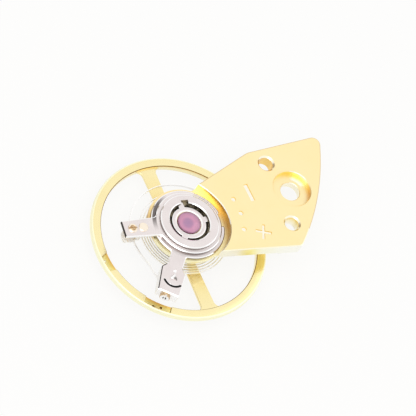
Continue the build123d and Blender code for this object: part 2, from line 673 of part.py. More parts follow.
def stud_angle():
    """The stud's direction from the balance axis, in degrees."""
    centre = stud_centre()
    return degrees(atan2(centre.Y, centre.X))


def stud_outline(gap):
    """The stud's three-sided section, grown by a gap, with one flat facing the screw."""
    centre = stud_centre()
    section = RegularPolygon(STUD_RADIUS + gap, 3)
    section = fillet(section.vertices(), STUD_ROUND)
    return Pos(centre.X, centre.Y) * Rot(Z=CARRIER_ANGLE + 180) * section


def carrier_plate():
    """The split ring, neck and head of the stud carrier, as a flat outline."""
    neck = NECK_WIDTH / 2
    head = HEAD_WIDTH / 2
    straight = [(0, neck), (NECK_END, neck), (HEAD_START, head), (HEAD_END, head)]
    tapered = [*straight[:-1], (HEAD_END, head - HEAD_TAPER)]
    corners = [along(CARRIER_ANGLE, forward, aside) for forward, aside in straight]
    corners += [along(CARRIER_ANGLE, forward, -aside) for forward, aside in reversed(tapered)]
    split = sector(CARRIER_RADIUS + CUT_OVERRUN, CARRIER_GAP_START, CARRIER_GAP_END)
    return Circle(CARRIER_RADIUS) - split + make_face(Polyline(*corners, close=True))


def stud_carrier():
    """The lower steel ring and its arm, whose thick head holds the stud."""
    plate = carrier_plate() - Circle(ring_bore)
    gap_ends = [polar(CARRIER_RADIUS, CARRIER_GAP_START), polar(CARRIER_RADIUS, CARRIER_GAP_END)]
    plate = fillet(corners_near(plate, gap_ends), CARRIER_TIP_ROUND)
    carrier = slab(plate, carrier_bottom, carrier_top)
    side = HEAD_WIDTH / 2
    head = [(HEAD_START, side), (HEAD_END, side), (HEAD_END, HEAD_TAPER - side), (HEAD_START, -side)]
    corners = [along(CARRIER_ANGLE, forward, aside) for forward, aside in head]
    carrier += slab(make_face(Polyline(*corners, close=True)), head_bottom, carrier_top)
    carrier -= slab(stud_outline(SEAT_GAP), head_bottom - CUT_OVERRUN, carrier_top + CUT_OVERRUN)
    centre = stud_centre()
    half = CARRIER_SLOT_SPAN / 2
    outer = CARRIER_SLOT_RADIUS + CARRIER_SLOT_WIDTH / 2
    slot = sector(outer, CARRIER_ANGLE - half, CARRIER_ANGLE + half)
    slot -= Circle(CARRIER_SLOT_RADIUS - CARRIER_SLOT_WIDTH / 2)
    slot = Pos(centre.X, centre.Y) * slot
    carrier -= slab(slot, carrier_top - CARRIER_SLOT_DEPTH, carrier_top + CUT_OVERRUN)
    return carrier - screw_shank(STUD_SCREW_RADIUS + SEAT_GAP, HEAD_END + CUT_OVERRUN)


def screw_plane(place):
    """The plane across the stud screw's axis at a distance from the balance axis."""
    foot = polar(place, CARRIER_ANGLE)
    return Plane(origin=(foot.X, foot.Y, stud_screw_height), z_dir=polar(1, CARRIER_ANGLE))


def screw_shank(radius, end):
    """A round bar on the stud screw's axis, from the stud's flat to a distance from the balance axis."""
    start = STUD_PLACE + (STUD_RADIUS + SEAT_GAP) / 2
    return screw_plane(start) * Cylinder(radius, end - start, align=ON_BASE)


def stud_screw():
    """The screw in the end of the carrier's head that clamps the stud."""
    seat = screw_plane(HEAD_END)
    head = seat * Cylinder(STUD_SCREW_HEAD_RADIUS, STUD_SCREW_HEAD, align=ON_BASE)
    slot = seat * Pos(0, 0, STUD_SCREW_HEAD) * Box(
        STUD_SCREW_HEAD_RADIUS * 2 + CUT_OVERRUN, STUD_SCREW_SLOT, STUD_SCREW_HEAD)
    return screw_shank(STUD_SCREW_RADIUS, HEAD_END) + head - slot


def hairspring_stud():
    """The three-sided stud, slit for the end of the spring."""
    stud = slab(stud_outline(0), spring_bottom - STUD_DROP, carrier_top + STUD_PROUD)
    centre = stud_centre()
    slit = Pos(centre.X, centre.Y) * Rot(Z=stud_angle()) * Rectangle(
        SPRING_THICKNESS + STUD_SLIT_GAP * 2, STUD_RADIUS * 2 + CUT_OVERRUN)
    return stud - slab(slit, spring_bottom - STUD_SLIT_GAP, spring_top + STUD_SLIT_GAP)


NODES = {
    "balance_cock": balance_cock,
    "shock_block": shock_block,
    "shock_spring": shock_spring,
    "jewel_setting": jewel_setting,
    "cap_jewel": cap_jewel,
    "hole_jewel": hole_jewel,
    "regulator_index": regulator_index,
    "curb_pin": curb_pin,
    "regulator_key": regulator_key,
    "stud_carrier": stud_carrier,
    "hairspring_stud": hairspring_stud,
    "stud_screw": stud_screw,
    "hairspring": hairspring,
    "hairspring_collet": hairspring_collet,
    "balance_wheel": balance_wheel,
    "balance_staff": balance_staff,
    "impulse_roller": impulse_roller,
    "safety_roller": safety_roller,
    "impulse_jewel": impulse_jewel,
}

os.makedirs("parts", exist_ok=True)
for node, build in NODES.items():
    export_step(build(), f"parts/{node}.step")
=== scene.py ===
"""Looks of a watch balance with its cock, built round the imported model."""

import math

import bmesh
import bpy
from mathutils import Matrix, Vector


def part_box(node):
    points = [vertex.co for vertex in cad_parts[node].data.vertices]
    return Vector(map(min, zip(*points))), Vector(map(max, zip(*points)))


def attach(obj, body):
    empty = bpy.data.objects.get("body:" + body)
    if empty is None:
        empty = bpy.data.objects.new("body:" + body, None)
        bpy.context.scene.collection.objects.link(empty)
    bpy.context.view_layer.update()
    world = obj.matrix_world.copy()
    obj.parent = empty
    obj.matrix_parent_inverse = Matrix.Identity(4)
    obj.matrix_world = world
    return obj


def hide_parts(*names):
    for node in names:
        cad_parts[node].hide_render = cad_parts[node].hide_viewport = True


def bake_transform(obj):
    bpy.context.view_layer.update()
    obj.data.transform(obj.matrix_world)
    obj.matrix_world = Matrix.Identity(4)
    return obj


bl_info = {
    "name": "Watch Balance With Cock",
    "version": (1, 0, 0),
    "blender": (4, 5, 0),
    "location": "3D View > Sidebar > Balance",
    "description": "Makes each piece of a watch balance and its cock, and the stage for its picture",
    "category": "Object",
}

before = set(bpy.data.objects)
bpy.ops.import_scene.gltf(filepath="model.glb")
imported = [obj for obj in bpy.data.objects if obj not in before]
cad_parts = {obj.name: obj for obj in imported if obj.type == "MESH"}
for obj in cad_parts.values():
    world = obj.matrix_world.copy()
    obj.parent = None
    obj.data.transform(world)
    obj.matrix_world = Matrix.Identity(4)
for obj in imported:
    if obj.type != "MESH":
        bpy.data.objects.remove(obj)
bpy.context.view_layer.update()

MM = 0.001                  # metres in a millimetre
ARC_STEP = 3.0              # degrees between the points of an arc
TURN_COUNT = 96             # facets round a turned piece
SHARP_ANGLE = 28.0          # edges that bend more than this stay crisp
UPRIGHT, FLAT = 0.2, 0.95   # how much of a normal points up on a wall at most, and on a flat at least
OVERRUN = 0.2               # how far a cutter runs past a face
BEVEL_FALL = 0.65           # depth of an upper bevel for its width
EASE, THIN, FINE = 0.02, 0.015, 0.01        # bevels on edges that are only broken
PRESSED, RUNNING = 0.005, 0.015     # clearance round what is pressed in, and round what turns
SLACK, NEAR, AT_LEVEL = 0.02, 0.01, 0.005   # how far a face may lie from where a test looks for it
TINY = 1e-6


def heights(node):
    """A node's lowest and highest point, in millimetres."""
    return [corner.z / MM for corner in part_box(node)[:2]]


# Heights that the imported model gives
foot_bottom, cock_top = heights("balance_cock")
block_bottom = heights("shock_block")[0]
spring_bottom, spring_top = heights("hairspring")
rim_bottom, rim_top = heights("balance_wheel")
index_bottom, index_top = heights("regulator_index")
head_bottom, carrier_top = heights("stud_carrier")
setting_bottom, setting_top = heights("jewel_setting")
lug_bottom, lug_top = heights("shock_spring")
cap_bottom, cap_top = heights("cap_jewel")
stone_bottom, stone_top = heights("hole_jewel")
collet_bottom, collet_top = heights("hairspring_collet")
staff_top = heights("balance_staff")[1]
impulse_bottom, impulse_top = heights("impulse_roller")
safety_bottom, safety_top = heights("safety_roller")
pin_bottom, pin_top = heights("impulse_jewel")
stud_bottom, stud_top = heights("hairspring_stud")
post_bottom, post_top = heights("curb_pin")
key_bottom, key_top = heights("regulator_key")


# Sizes and colours that a user may change
def length(name, description, default):
    """A length property, given in millimetres and kept in metres."""
    return bpy.props.FloatProperty(name=name, description=description, default=default * MM, min=0,
                                   precision=6, subtype="DISTANCE", unit="LENGTH")


def turn(name, description, default):
    """An angle property, given in degrees."""
    return bpy.props.FloatProperty(name=name, description=description, default=math.radians(default),
                                   subtype="ANGLE", unit="ROTATION")


def colour(name, description, default):
    """A linear colour property."""
    return bpy.props.FloatVectorProperty(name=name, description=description, default=default, size=3,
                                         min=0, max=1, subtype="COLOR")


class BalanceWheelSizes(bpy.types.PropertyGroup):
    """Sizes of the wheel."""
    radius: length("Wheel Radius", "From the axis to the outside of the rim", 5.0)
    rim_width: length("Rim Width", "Across the rim, seen from above", 0.54)
    rim_bevel: length("Rim Bevel", "Rounding on the rim's outer edges", 0.10)
    arm_count: bpy.props.IntProperty(name="Arms", description="Arms between the hub and the rim",
                                     default=2, min=2, max=6)
    arm_root: length("Arm Root", "Width of an arm at the axis", 0.62)
    arm_tip: length("Arm Tip", "Width of an arm inside the rim", 0.86)
    arm_edge: length("Arm Edge", "Bevel on the edges of the arms", 0.015)
    arm_angle: turn("Arm Angle", "Direction of the first arm", 86.0)


class BalanceSpringSizes(bpy.types.PropertyGroup):
    """Sizes of the hairspring."""
    strip: length("Strip Thickness", "Thickness of the strip", 0.04)
    inner: length("Inner Radius", "Middle of the strip at the collet", 0.57)
    pack: length("Pack Radius", "Middle of the strip where the close turns end", 2.5)
    outer: length("Outer Radius", "Middle of the strip between the regulator's posts", 3.0)
    half_turns: bpy.props.IntProperty(name="Half Turns", description="Half turns of the close pack",
                                      default=26, min=4, max=60)


class BalanceDetailSizes(bpy.types.PropertyGroup):
    """Sizes of edges and engraving."""
    cock_edge: length("Cock Edge", "Bevel on the cock's upper edge", 0.05)
    steel_edge: length("Steel Edge", "Bevel on the edges of the steel pieces", 0.05)
    mark_depth: length("Mark Depth", "Depth of the engraved marks", 0.05)


class BalanceFinishes(bpy.types.PropertyGroup):
    """Colours of the materials."""
    gilt: colour("Gilt", "Gilding on the cock", (1.0, 0.838, 0.475))
    gilt_deep: colour("Deep Gilt", "Gilding in its darker patches", (0.965, 0.775, 0.37))
    rim: colour("Rim", "Turned gilding on the wheel", (0.985, 0.87, 0.485))
    rim_deep: colour("Deep Rim", "The same gilding in its darker patches", (0.92, 0.76, 0.40))
    steel: colour("Steel", "Grained steel of the regulator", (0.865, 0.80, 0.785))
    steel_deep: colour("Deep Steel", "The same steel in its darker patches", (0.66, 0.585, 0.575))
    spring: colour("Spring", "Drawn strip of the hairspring", (1.0, 0.99, 0.98))
    brass: colour("Brass", "Posts and collet", (0.97, 0.865, 0.72))
    ruby: colour("Ruby", "Jewels", (0.70, 0.28, 0.52))
    floor: colour("Floor", "Table under the object", (0.985, 0.98, 0.97))


# Shapes in plan, in millimetres
def polar(radius, angle):
    """The point at a radius and an angle in degrees."""
    return Vector((radius * math.cos(math.radians(angle)), radius * math.sin(math.radians(angle))))


def along(angle, forward, aside=0.0):
    """The point at a distance forward along a direction, and aside to its left."""
    return polar(forward, angle) + polar(aside, angle + 90)


def arc(radius, start, end, centre=(0.0, 0.0)):
    """Points on an arc between two angles."""
    count = max(2, math.ceil(abs(end - start) / ARC_STEP))
    return [Vector(centre) + polar(radius, start + (end - start) * i / count) for i in range(count + 1)]


def bearing(point):
    """A point's direction from the axis, in degrees."""
    return math.degrees(math.atan2(point.y, point.x))


def arc_between(centre, start, end):
    """Points on the shorter arc between two points."""
    first = bearing(start - centre)
    sweep = (bearing(end - centre) - first + 180) % 360 - 180
    return arc((start - centre).length, first, first + sweep, centre)


def rounded(corners):
    """A closed outline from (point, radius) corners, with an arc of that radius at each."""
    points = []
    for i, (corner, radius) in enumerate(corners):
        if not radius:
            points.append(corner)
            continue
        back = (corners[i - 1][0] - corner).normalized()
        on = (corners[(i + 1) % len(corners)][0] - corner).normalized()
        half = back.angle(on) / 2
        run = radius / math.tan(half)
        centre = corner + (back + on).normalized() * radius / math.sin(half)
        points += arc_between(centre, corner + back * run, corner + on * run)
    return points


def inset(outline, distance):
    """An outline that runs anticlockwise, moved inwards."""
    moved = []
    for i, point in enumerate(outline):
        back = (point - outline[i - 1]).normalized()
        on = (outline[(i + 1) % len(outline)] - point).normalized()
        first, second = Vector((back.y, -back.x)), Vector((on.y, -on.x))
        moved.append(point - (first + second) * distance / (1 + first.dot(second)))
    return moved


def meet_circle(start, end, radius):
    """Where the line from one point towards another leaves a circle round the axis."""
    way = (end - start).normalized()
    middle = start.dot(way)
    return start + way * (math.sqrt(middle ** 2 - start.dot(start) + radius ** 2) - middle)


def side_fillet(start, end, outwards, radius, ring, reach):
    """The arc that joins an arm's side line to a ring, from the line to the ring."""
    centre = meet_circle(start + outwards * radius, end + outwards * radius, reach)
    return arc_between(centre, centre - outwards * radius, centre * ring / reach)


def arm_on_ring(ring, angle, root, fillet, tip):
    """A ring's outline with one arm. tip is the arm's end, anticlockwise, as (forward, aside, rounding)."""
    right = [along(angle, 0, -root), along(angle, *tip[0][:2])]
    left = [along(angle, 0, root), along(angle, *tip[-1][:2])]
    right_arc = side_fillet(*right, polar(1, angle - 90), fillet, ring, ring + fillet)[::-1]
    left_arc = side_fillet(*left, polar(1, angle + 90), fillet, ring, ring + fillet)
    corners = [(right_arc[-1], 0)] + [(along(angle, f, s), r) for f, s, r in tip] + [(left_arc[0], 0)]
    start, end = bearing(left_arc[-1]), bearing(right_arc[0])
    round_back = (start, end + (360 if end < start else 0))
    return right_arc[:-1] + rounded(corners) + left_arc[1:], round_back


# Working meshes, in millimetres
def placed(name, data):
    """A new object in the scene."""
    made = bpy.data.objects.new(name, data)
    bpy.context.scene.collection.objects.link(made)
    return made


def meshed(name, bm, material):
    """A new object from a bmesh, which is used up."""
    mesh = bpy.data.meshes.new(name)
    bm.to_mesh(mesh)
    bm.free()
    mesh.materials.append(material)
    return placed(name, mesh)


def work(bm, material):
    """A working object from a bmesh, with its faces turned outwards."""
    bmesh.ops.recalc_face_normals(bm, faces=bm.faces)
    return meshed("work", bm, material)


def stack(rows, material):
    """A solid from outlines with as many points each, at rising heights."""
    bm = bmesh.new()
    loops = [[bm.verts.new((p.x, p.y, height)) for p in outline] for outline, height in rows]
    for lower, upper in zip(loops, loops[1:]):
        for i in range(len(lower)):
            bm.faces.new((lower[i - 1], lower[i], upper[i], upper[i - 1]))
    bm.faces.new(loops[0][::-1])
    bm.faces.new(loops[-1])
    return work(bm, material)


def plate(outline, bottom, top, material, upper=0.0, lower=0.0):
    """A flat piece with a bevel on its upper and lower edges."""
    rows = [(inset(outline, lower), bottom), (outline, bottom + lower)] if lower else [(outline, bottom)]
    fall = upper * BEVEL_FALL
    rows += [(outline, top - fall), (inset(outline, upper), top)] if upper else [(outline, top)]
    return stack(rows, material)


def flared(outline, bottom, top, flare, material):
    """A cutter for a recess whose mouth has a bevel at the upper height."""
    wide = inset(outline, -flare)
    return stack([(outline, bottom), (outline, top - flare), (wide, top), (wide, top + OVERRUN)], material)


def turned(profile, material, centre=(0.0, 0.0), count=TURN_COUNT):
    """A turned solid from the (radius, height) corners of its half section."""
    bm = bmesh.new()
    rings = []
    for radius, height in profile:
        if radius < TINY:
            rings.append([bm.verts.new((*centre, height))] * count)
        else:
            points = [Vector(centre) + polar(radius, 360 * i / count) for i in range(count)]
            rings.append([bm.verts.new((p.x, p.y, height)) for p in points])
    for ring, following in zip(rings, rings[1:] + rings[:1]):
        for i in range(count):
            corners = list(dict.fromkeys((ring[i - 1], ring[i], following[i], following[i - 1])))
            if len(corners) > 2:
                bm.faces.new(corners)
    return work(bm, material)


def bored(radius, bottom, top, material, centre=(0.0, 0.0), mouth=0.0, count=TURN_COUNT):
    """A round cutter through both heights, with a bevelled mouth at the upper one."""
    wide, below, above = radius + mouth, bottom - OVERRUN, top + OVERRUN
    return turned([(0, below), (radius, below), (radius, top - mouth), (wide, top), (wide, above), (0, above)],
                  material, centre, count)


def disc(inner, outer, bottom, top, lower, upper, *mouth):
    """A disc's half section, with bevelled outer edges and the corners of its bore's upper mouth."""
    return [(inner, bottom), (outer - lower, bottom), (outer, bottom + lower), (outer, top - upper),
            (outer - upper, top), *(mouth or [(inner, top)])]


def bar(centre, long, wide, angle):
    """A rectangle's outline round a point."""
    return [Vector(centre) + along(angle, forward * long / 2, aside * wide / 2)
            for forward, aside in ((-1, -1), (1, -1), (1, 1), (-1, 1))]


def settled(thing):
    """An object's mesh with its modifiers worked in."""
    graph = bpy.context.evaluated_depsgraph_get()
    mesh = bpy.data.meshes.new_from_object(thing.evaluated_get(graph))
    thing.modifiers.clear()
    return mesh


def merged(base, operation, *others):
    """The base joined with, or cut by, the other working objects, which are used up."""
    for other in others:
        step = base.modifiers.new("Join or cut", "BOOLEAN")
        step.operation = operation
        step.solver = "EXACT"
        step.material_mode = "TRANSFER"
        step.object = other
    old = base.data
    base.data = settled(base)
    bpy.data.meshes.remove(old)
    for other in others:
        bpy.data.meshes.remove(other.data)
    return base


class Face:
    """What a test may ask of a face."""

    def __init__(self, face):
        self.index, self.middle, self.normal = face.index, face.center.copy(), face.normal.copy()
        self.z, self.reach = self.middle.z, self.middle.xy.length
        self.up, self.down = self.normal.z > FLAT, self.normal.z < -FLAT
        self.side, self.sloped = abs(self.normal.z) < UPRIGHT, abs(self.normal.z) < FLAT
        self.bevel = UPRIGHT < self.normal.z < FLAT
        self.inwards = self.normal.xy.dot(self.middle.xy) < 0

    def off(self, place):
        """How far it lies from an upright axis."""
        return (self.middle.xy - place).length

    def looks(self, way, share):
        """Whether at least that share of its level part points along a direction."""
        return self.normal.xy.dot(way) > share * self.normal.xy.length


def dressed(thing, *rules):
    """Gives each (material, test) rule's material to the faces that pass; later rules go over earlier ones."""
    mesh = thing.data
    faces = [Face(face) for face in mesh.polygons]
    for material, test in rules:
        mesh.materials.append(material)
        for face in filter(test, faces):
            mesh.polygons[face.index].material_index = len(mesh.materials) - 1


def piece(thing, name, body, slot, *nodes):
    """Finishes a working object: metres, smooth faces, its body and the nodes it stands for; slot is not used.
    """
    thing.data.transform(Matrix.Scale(MM, 4))
    thing.name = thing.data.name = name
    thing.data.shade_smooth()
    thing.data.set_sharp_from_angle(angle=math.radians(SHARP_ANGLE))
    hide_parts(*nodes)
    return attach(thing, body) if body else thing


# Node trees
class Value:
    """A number that a node tree works out, used like a Python number."""

    def __init__(self, nodes, socket):
        self.nodes, self.socket = nodes, socket

    def math(self, operation, *others):
        values = dict(enumerate((self, *others)))
        return self.nodes.value("ShaderNodeMath", {"operation": operation}, values)

    def __add__(self, other):
        return self.math("ADD", other)

    def __mul__(self, other):
        return self.math("MULTIPLY", other)

    def __sub__(self, other):
        return self.math("SUBTRACT", other)

    __radd__, __rmul__ = __add__, __mul__


class Nodes:
    """A node tree that is filled one node at a time."""

    def __init__(self, tree):
        self.tree = tree
        tree.nodes.clear()

    def node(self, kind, settings=None, sockets=None):
        """Adds a node: its settings first, then the values or links of its sockets."""
        made = self.tree.nodes.new(kind)
        for name, value in (settings or {}).items():
            if name == "stops":
                ramp = made.color_ramp.elements
                while len(ramp) < len(value):
                    ramp.new(1.0)
                for stop, (place, shade) in zip(ramp, value):
                    stop.position, stop.color = place, shade
            else:
                setattr(made, name, value)
        for name, value in (sockets or {}).items():
            if isinstance(value, Value):
                value = value.socket
            if isinstance(value, bpy.types.NodeSocket):
                self.tree.links.new(value, made.inputs[name])
            else:
                made.inputs[name].default_value = value
        return made

    def value(self, kind, settings=None, sockets=None, output=0):
        """Adds a node and gives one of its outputs as a value."""
        return Value(self, self.node(kind, settings, sockets).outputs[output])


class Finish(Nodes):
    """A material's node tree, with the patterns that several finishes share."""

    def __init__(self, name):
        self.shades = bpy.context.scene.balance_finishes
        self.material = bpy.data.materials.new(name)
        self.material.use_nodes = True
        super().__init__(self.material.node_tree)
        place = self.node("ShaderNodeTexCoord").outputs["Object"]
        self.place = self.mapped(place, "Scale", (1 / MM,) * 3)

    def mapped(self, place, setting, value):
        """A place scaled or turned."""
        return self.node("ShaderNodeMapping", None, {"Vector": place, setting: value}).outputs[0]

    def tone(self, shade):
        """What a colour input takes, from a link, three channels, or a panel colour's name and strength."""
        if isinstance(shade, bpy.types.NodeSocket):
            return shade
        if isinstance(shade, str):
            shade = (shade, 1.0)
        if isinstance(shade[0], str):
            shade = [min(1.0, channel * shade[1]) for channel in getattr(self.shades, shade[0])]
        return (*shade, 1.0)

    def clouds(self, pitch, detail=3.0, stretch=(1.0, 1.0, 1.0)):
        """Soft random patches, so many to the millimetre."""
        return self.value("ShaderNodeTexNoise", None, {
            "Vector": self.mapped(self.place, "Scale", stretch), "Scale": pitch, "Detail": detail,
            "Roughness": 0.55}, "Fac")

    def rings(self, pitch):
        """Turning marks round the balance axis, so many to the millimetre."""
        wander = self.clouds(2.0) * 0.05
        return self.value("ShaderNodeTexNoise", {"noise_dimensions": "1D"},
                          {"W": (self.from_axis() + wander) * pitch, "Scale": 1.0, "Detail": 2.0}, "Fac")

    def from_axis(self, centre=(0.0, 0.0)):
        """Distance from an upright axis, in millimetres."""
        flat = self.node("ShaderNodeVectorMath", {"operation": "MULTIPLY_ADD"},
                         {0: self.place, 1: (1.0, 1.0, 0.0), 2: (-centre[0], -centre[1], 0.0)})
        return self.value("ShaderNodeVectorMath", {"operation": "LENGTH"}, {0: flat.outputs[0]}, "Value")

    def bearing(self, zero, centre=(0.0, 0.0)):
        """Angle round an upright axis in degrees, from a direction where it turns over."""
        off = self.node("ShaderNodeVectorMath", {"operation": "SUBTRACT"}, {0: self.place, 1: (*centre, 0.0)})
        swung = self.mapped(off.outputs[0], "Rotation", (0.0, 0.0, -math.radians(zero + 180)))
        parts = self.node("ShaderNodeSeparateXYZ", None, {0: swung}).outputs
        return Value(self, parts["Y"]).math("ARCTAN2", Value(self, parts["X"])) * (180 / math.pi) + 180

    def part(self, axis):
        """One coordinate of the place, in millimetres."""
        return Value(self, self.node("ShaderNodeSeparateXYZ", None, {0: self.place}).outputs[axis])

    def between(self, value, start, end, kind="LINEAR"):
        """A value carried from a range to nought and one, and kept there."""
        return self.value("ShaderNodeMapRange", {"interpolation_type": kind}, {0: value, 1: start, 2: end})

    def window(self, value, start, end, soft):
        """One inside a range and nought outside it, with soft ends."""
        return self.between(value, start - soft, start + soft, "SMOOTHSTEP") \
            * self.between(value, end + soft, end - soft, "SMOOTHSTEP")

    def ramp(self, value, *stops):
        """A colour that follows a value through (value, colour) stops."""
        first, last = stops[0][0], stops[-1][0]
        places = tuple(((at - first) / (last - first), self.tone(shade)) for at, shade in stops)
        return self.node("ShaderNodeValToRGB", {"stops": places},
                         {"Fac": self.between(value, first, last)}).outputs[0]

    def mix(self, factor, first, second):
        """A colour between two colours."""
        return self.node("ShaderNodeMix", {"data_type": "RGBA"},
                         {0: factor, 6: self.tone(first), 7: self.tone(second)}).outputs[2]

    def close(self, **sockets):
        """Ends the material in one surface shader."""
        surface = self.node("ShaderNodeBsdfPrincipled", None,
                            {name.replace("_", " "): value for name, value in sockets.items()})
        self.node("ShaderNodeOutputMaterial", None, {"Surface": surface.outputs[0]})
        return self.material

    def metal(self, tint, grain, rough, gain, depth, metallic=1.0):
        """Ends it as a metal. The grain adds its gain to the roughness, and is that many millimetres deep."""
        bump = self.node("ShaderNodeBump", None, {"Strength": 1.0, "Distance": depth * MM, "Height": grain})
        return self.close(Base_Color=tint, Metallic=metallic, Roughness=rough + grain * gain,
                          Normal=bump.outputs[0])


def once(build):
    """Builds a material on its first use and finds it again after that."""
    def find(*values):
        name = build.__name__
        return bpy.data.materials.get(name) or build(Finish(name), *values)
    return find


def grained(name, noise, share, first, second, rough, gain, depth, metallic=1.0, patch=None):
    """A metal in two colours, mixed by one grain.

    noise is its pitch, detail and stretch, share how much of the second colour it brings in, and patch the
    part of its range that does so. gain and depth are what it adds to the roughness, and to the bump.
    """
    def build(f):
        grain = f.clouds(*noise)
        factor = (f.between(grain, *patch) if patch else grain) * share
        return f.metal(f.mix(factor, first, second), grain, rough, gain, depth, metallic)
    build.__name__ = name
    return once(build)


ROUND_WALL = (0.35, 0.35, 2.5)      # draws clouds out into lines round an upright wall
WALL_LINES = (16.0, 3.0, ROUND_WALL)
FLANGE_BOTTOM = 3.14

# Gilding: paler as a painted highlight over polished edges, brown as painted shade on upper edges at the far
# side, paler as painted light on the rim's outside, under the cock, deeper as painted shade on engraved slopes,
# near white as a painted highlight in engraved floors, on some bevels and in one glint, and dark as painted
# shade in the poising cutter's walls and holes
gilt_bevel = grained("gilt_bevel", (14.0,), 0.35, (1.0, 0.965, 0.80), "gilt", 0.20, 0.12, 0.0008)
worn_bevel = grained("worn_bevel", (9.0,), 1.0, (0.90, 0.70, 0.36), (0.72, 0.56, 0.33), 0.24, 0.12, 0.0008)
pale_gilt = grained("pale_gilt", WALL_LINES, 0.5, (1.0, 0.98, 0.72), (0.99, 0.94, 0.60),
                    0.30, 0.12, 0.0010, patch=(0.3, 0.75))
gilt_under = grained("gilt_under", (30.0, 4.0), 1.0, (1.0, 0.90, 0.42), (1.0, 0.80, 0.30), 0.30, 0.14, 0.0018)
gilt_wall = grained("gilt_wall", (16.0,), 1.0, (0.97, 0.77, 0.28), (0.90, 0.64, 0.20),
                    0.24, 0.14, 0.0012, patch=(0.3, 0.75))
bright_cut = grained("bright_cut", (30.0,), 0.25, (1.0, 0.985, 0.90), "gilt", 0.30, 0.1, 0.001, 0.55)
burnt_cut = grained("burnt_cut", (12.0,), 1.0, (0.40, 0.21, 0.05), (0.16, 0.08, 0.025),
                    0.34, 0.16, 0.003, 0.9)

# Steel: polished edges paler as a painted highlight, ring sides dark as painted shade, other sides and faces
# pale as painted light, the well dark as painted shade, slots and end faces black as painted shade and
# reflection, rolled, turned
steel_bevel = grained("steel_bevel", (16.0,), 0.3, (1.0, 0.995, 0.99), "steel", 0.10, 0.08, 0.0006)
steel_side = grained("steel_side", (18.0, 3.0, (0.4, 0.4, 3.0)), 1.0, (0.20, 0.175, 0.165),
                     (0.36, 0.325, 0.31), 0.28, 0.16, 0.0014, patch=(0.3, 0.7))
pale_steel = grained("pale_steel", (14.0, 3.0, (1.0, 1.0, 0.3)), 0.4, (1.0, 0.995, 0.985),
                     (0.90, 0.87, 0.84), 0.34, 0.14, 0.0010, 0.7)
shaded_steel = grained("shaded_steel", (5.0, 4.0), 1.0, (0.050, 0.036, 0.022), (0.46, 0.39, 0.26),
                       0.38, 0.2, 0.002, 0.6, (0.42, 0.60))
black_steel = grained("black_steel", (12.0,), 1.0, (0.02, 0.018, 0.016), (0.07, 0.06, 0.055),
                      0.42, 0.2, 0.0015, 0.6)
drawn_spring = grained("drawn_spring", (6.0, 4.0, (1.0, 1.0, 14.0)), 0.4, "spring", ("spring", 0.92),
                       0.30, 0.15, 0.0008)
burnished_staff = grained("burnished_staff", (20.0, 2.0, (0.1, 0.1, 2.0)), 0.5, ("steel", 0.95),
                          "steel_deep", 0.12, 0.12, 0.0008)

# Brass: turned, pale below the index as painted light, brown
post_brass = grained("post_brass", (24.0,), 0.3, "brass", ("brass", 0.85), 0.24, 0.16, 0.0008)
pale_brass = grained("pale_brass", (10.0,), 0.7, (1.0, 0.98, 0.93), (0.90, 0.64, 0.30),
                     0.30, 0.16, 0.0008, 0.15, (0.52, 0.70))
aged_brass = grained("aged_brass", (14.0,), 1.0, (0.80, 0.60, 0.36), (0.46, 0.31, 0.18),
                     0.28, 0.16, 0.0010, patch=(0.35, 0.65))


def stained(name, noise, value, wander, stops, rough, gain, depth, metallic=1.0):
    """A metal whose colour follows a value's (value, colour) stops, which its grain makes wander."""
    def build(f, *centre):
        grain = f.clouds(*noise)
        tint = f.ramp(value(f, *centre) + (grain - 0.5) * wander, *stops)
        return f.metal(tint, grain, rough, gain, depth, metallic)
    build.__name__ = name
    return once(build)


# Inside the rim, painted reflection and shade: warm at its upper edge, pale below, tan at the foot
rim_wall = stained("rim_wall", WALL_LINES, lambda f: f.part("Z"), 0.03, (
    (rim_bottom, (0.72, 0.52, 0.28)), (rim_bottom + 0.07, (1.0, 0.93, 0.62)),
    (rim_top - 0.15, (1.0, 0.92, 0.58)), (rim_top - 0.08, (0.98, 0.76, 0.36)),
    (rim_top, (0.93, 0.64, 0.26))), 0.26, 0.14, 0.0012)

# Round the cock screw's recess, painted reflection and shade: yellow on one side and brown on the other
screw_wall = stained("screw_wall", WALL_LINES, lambda f, centre: f.bearing(180.0, centre) - 180.0, 14.0, (
    (-75.0, (0.95, 0.76, 0.40)), (-52.0, (0.66, 0.38, 0.12)), (-20.0, (0.83, 0.50, 0.17)),
    (-4.0, (0.95, 0.74, 0.26)), (8.0, (1.0, 0.90, 0.44)), (24.0, (1.0, 0.78, 0.27)), (40.0, (0.96, 0.66, 0.18)),
    (58.0, (0.98, 0.74, 0.20)), (95.0, (0.98, 0.76, 0.22)), (125.0, (0.95, 0.74, 0.34))), 0.24, 0.14, 0.0012)

# Round the nose recess, painted reflection and shade: from yellow to brown
gilt_recess = stained("gilt_recess", WALL_LINES, lambda f: f.bearing(-120.0), 16.0, (
    (0.0, (0.85, 0.60, 0.20)), (72.0, (0.40, 0.23, 0.07)), (108.0, (0.46, 0.26, 0.07)),
    (131.0, (0.92, 0.57, 0.13)), (150.0, (0.98, 0.78, 0.22)), (166.0, (1.0, 0.90, 0.38)),
    (216.0, (1.0, 0.92, 0.44)), (360.0, (0.99, 0.82, 0.26))), 0.22, 0.14, 0.0012)

# The side of the block's flange: pale as painted light above a line of painted shadow at its foot
flange_side = stained("flange_side", (12.0, 3.0, (0.4, 0.4, 3.0)), lambda f: f.part("Z"), 0.02, (
    (FLANGE_BOTTOM, (0.05, 0.045, 0.04)), (FLANGE_BOTTOM + 0.035, (0.07, 0.06, 0.055)),
    (FLANGE_BOTTOM + 0.06, (0.55, 0.53, 0.52)), (FLANGE_BOTTOM + 0.10, (0.85, 0.83, 0.82))),
    0.30, 0.14, 0.0010, 0.9)
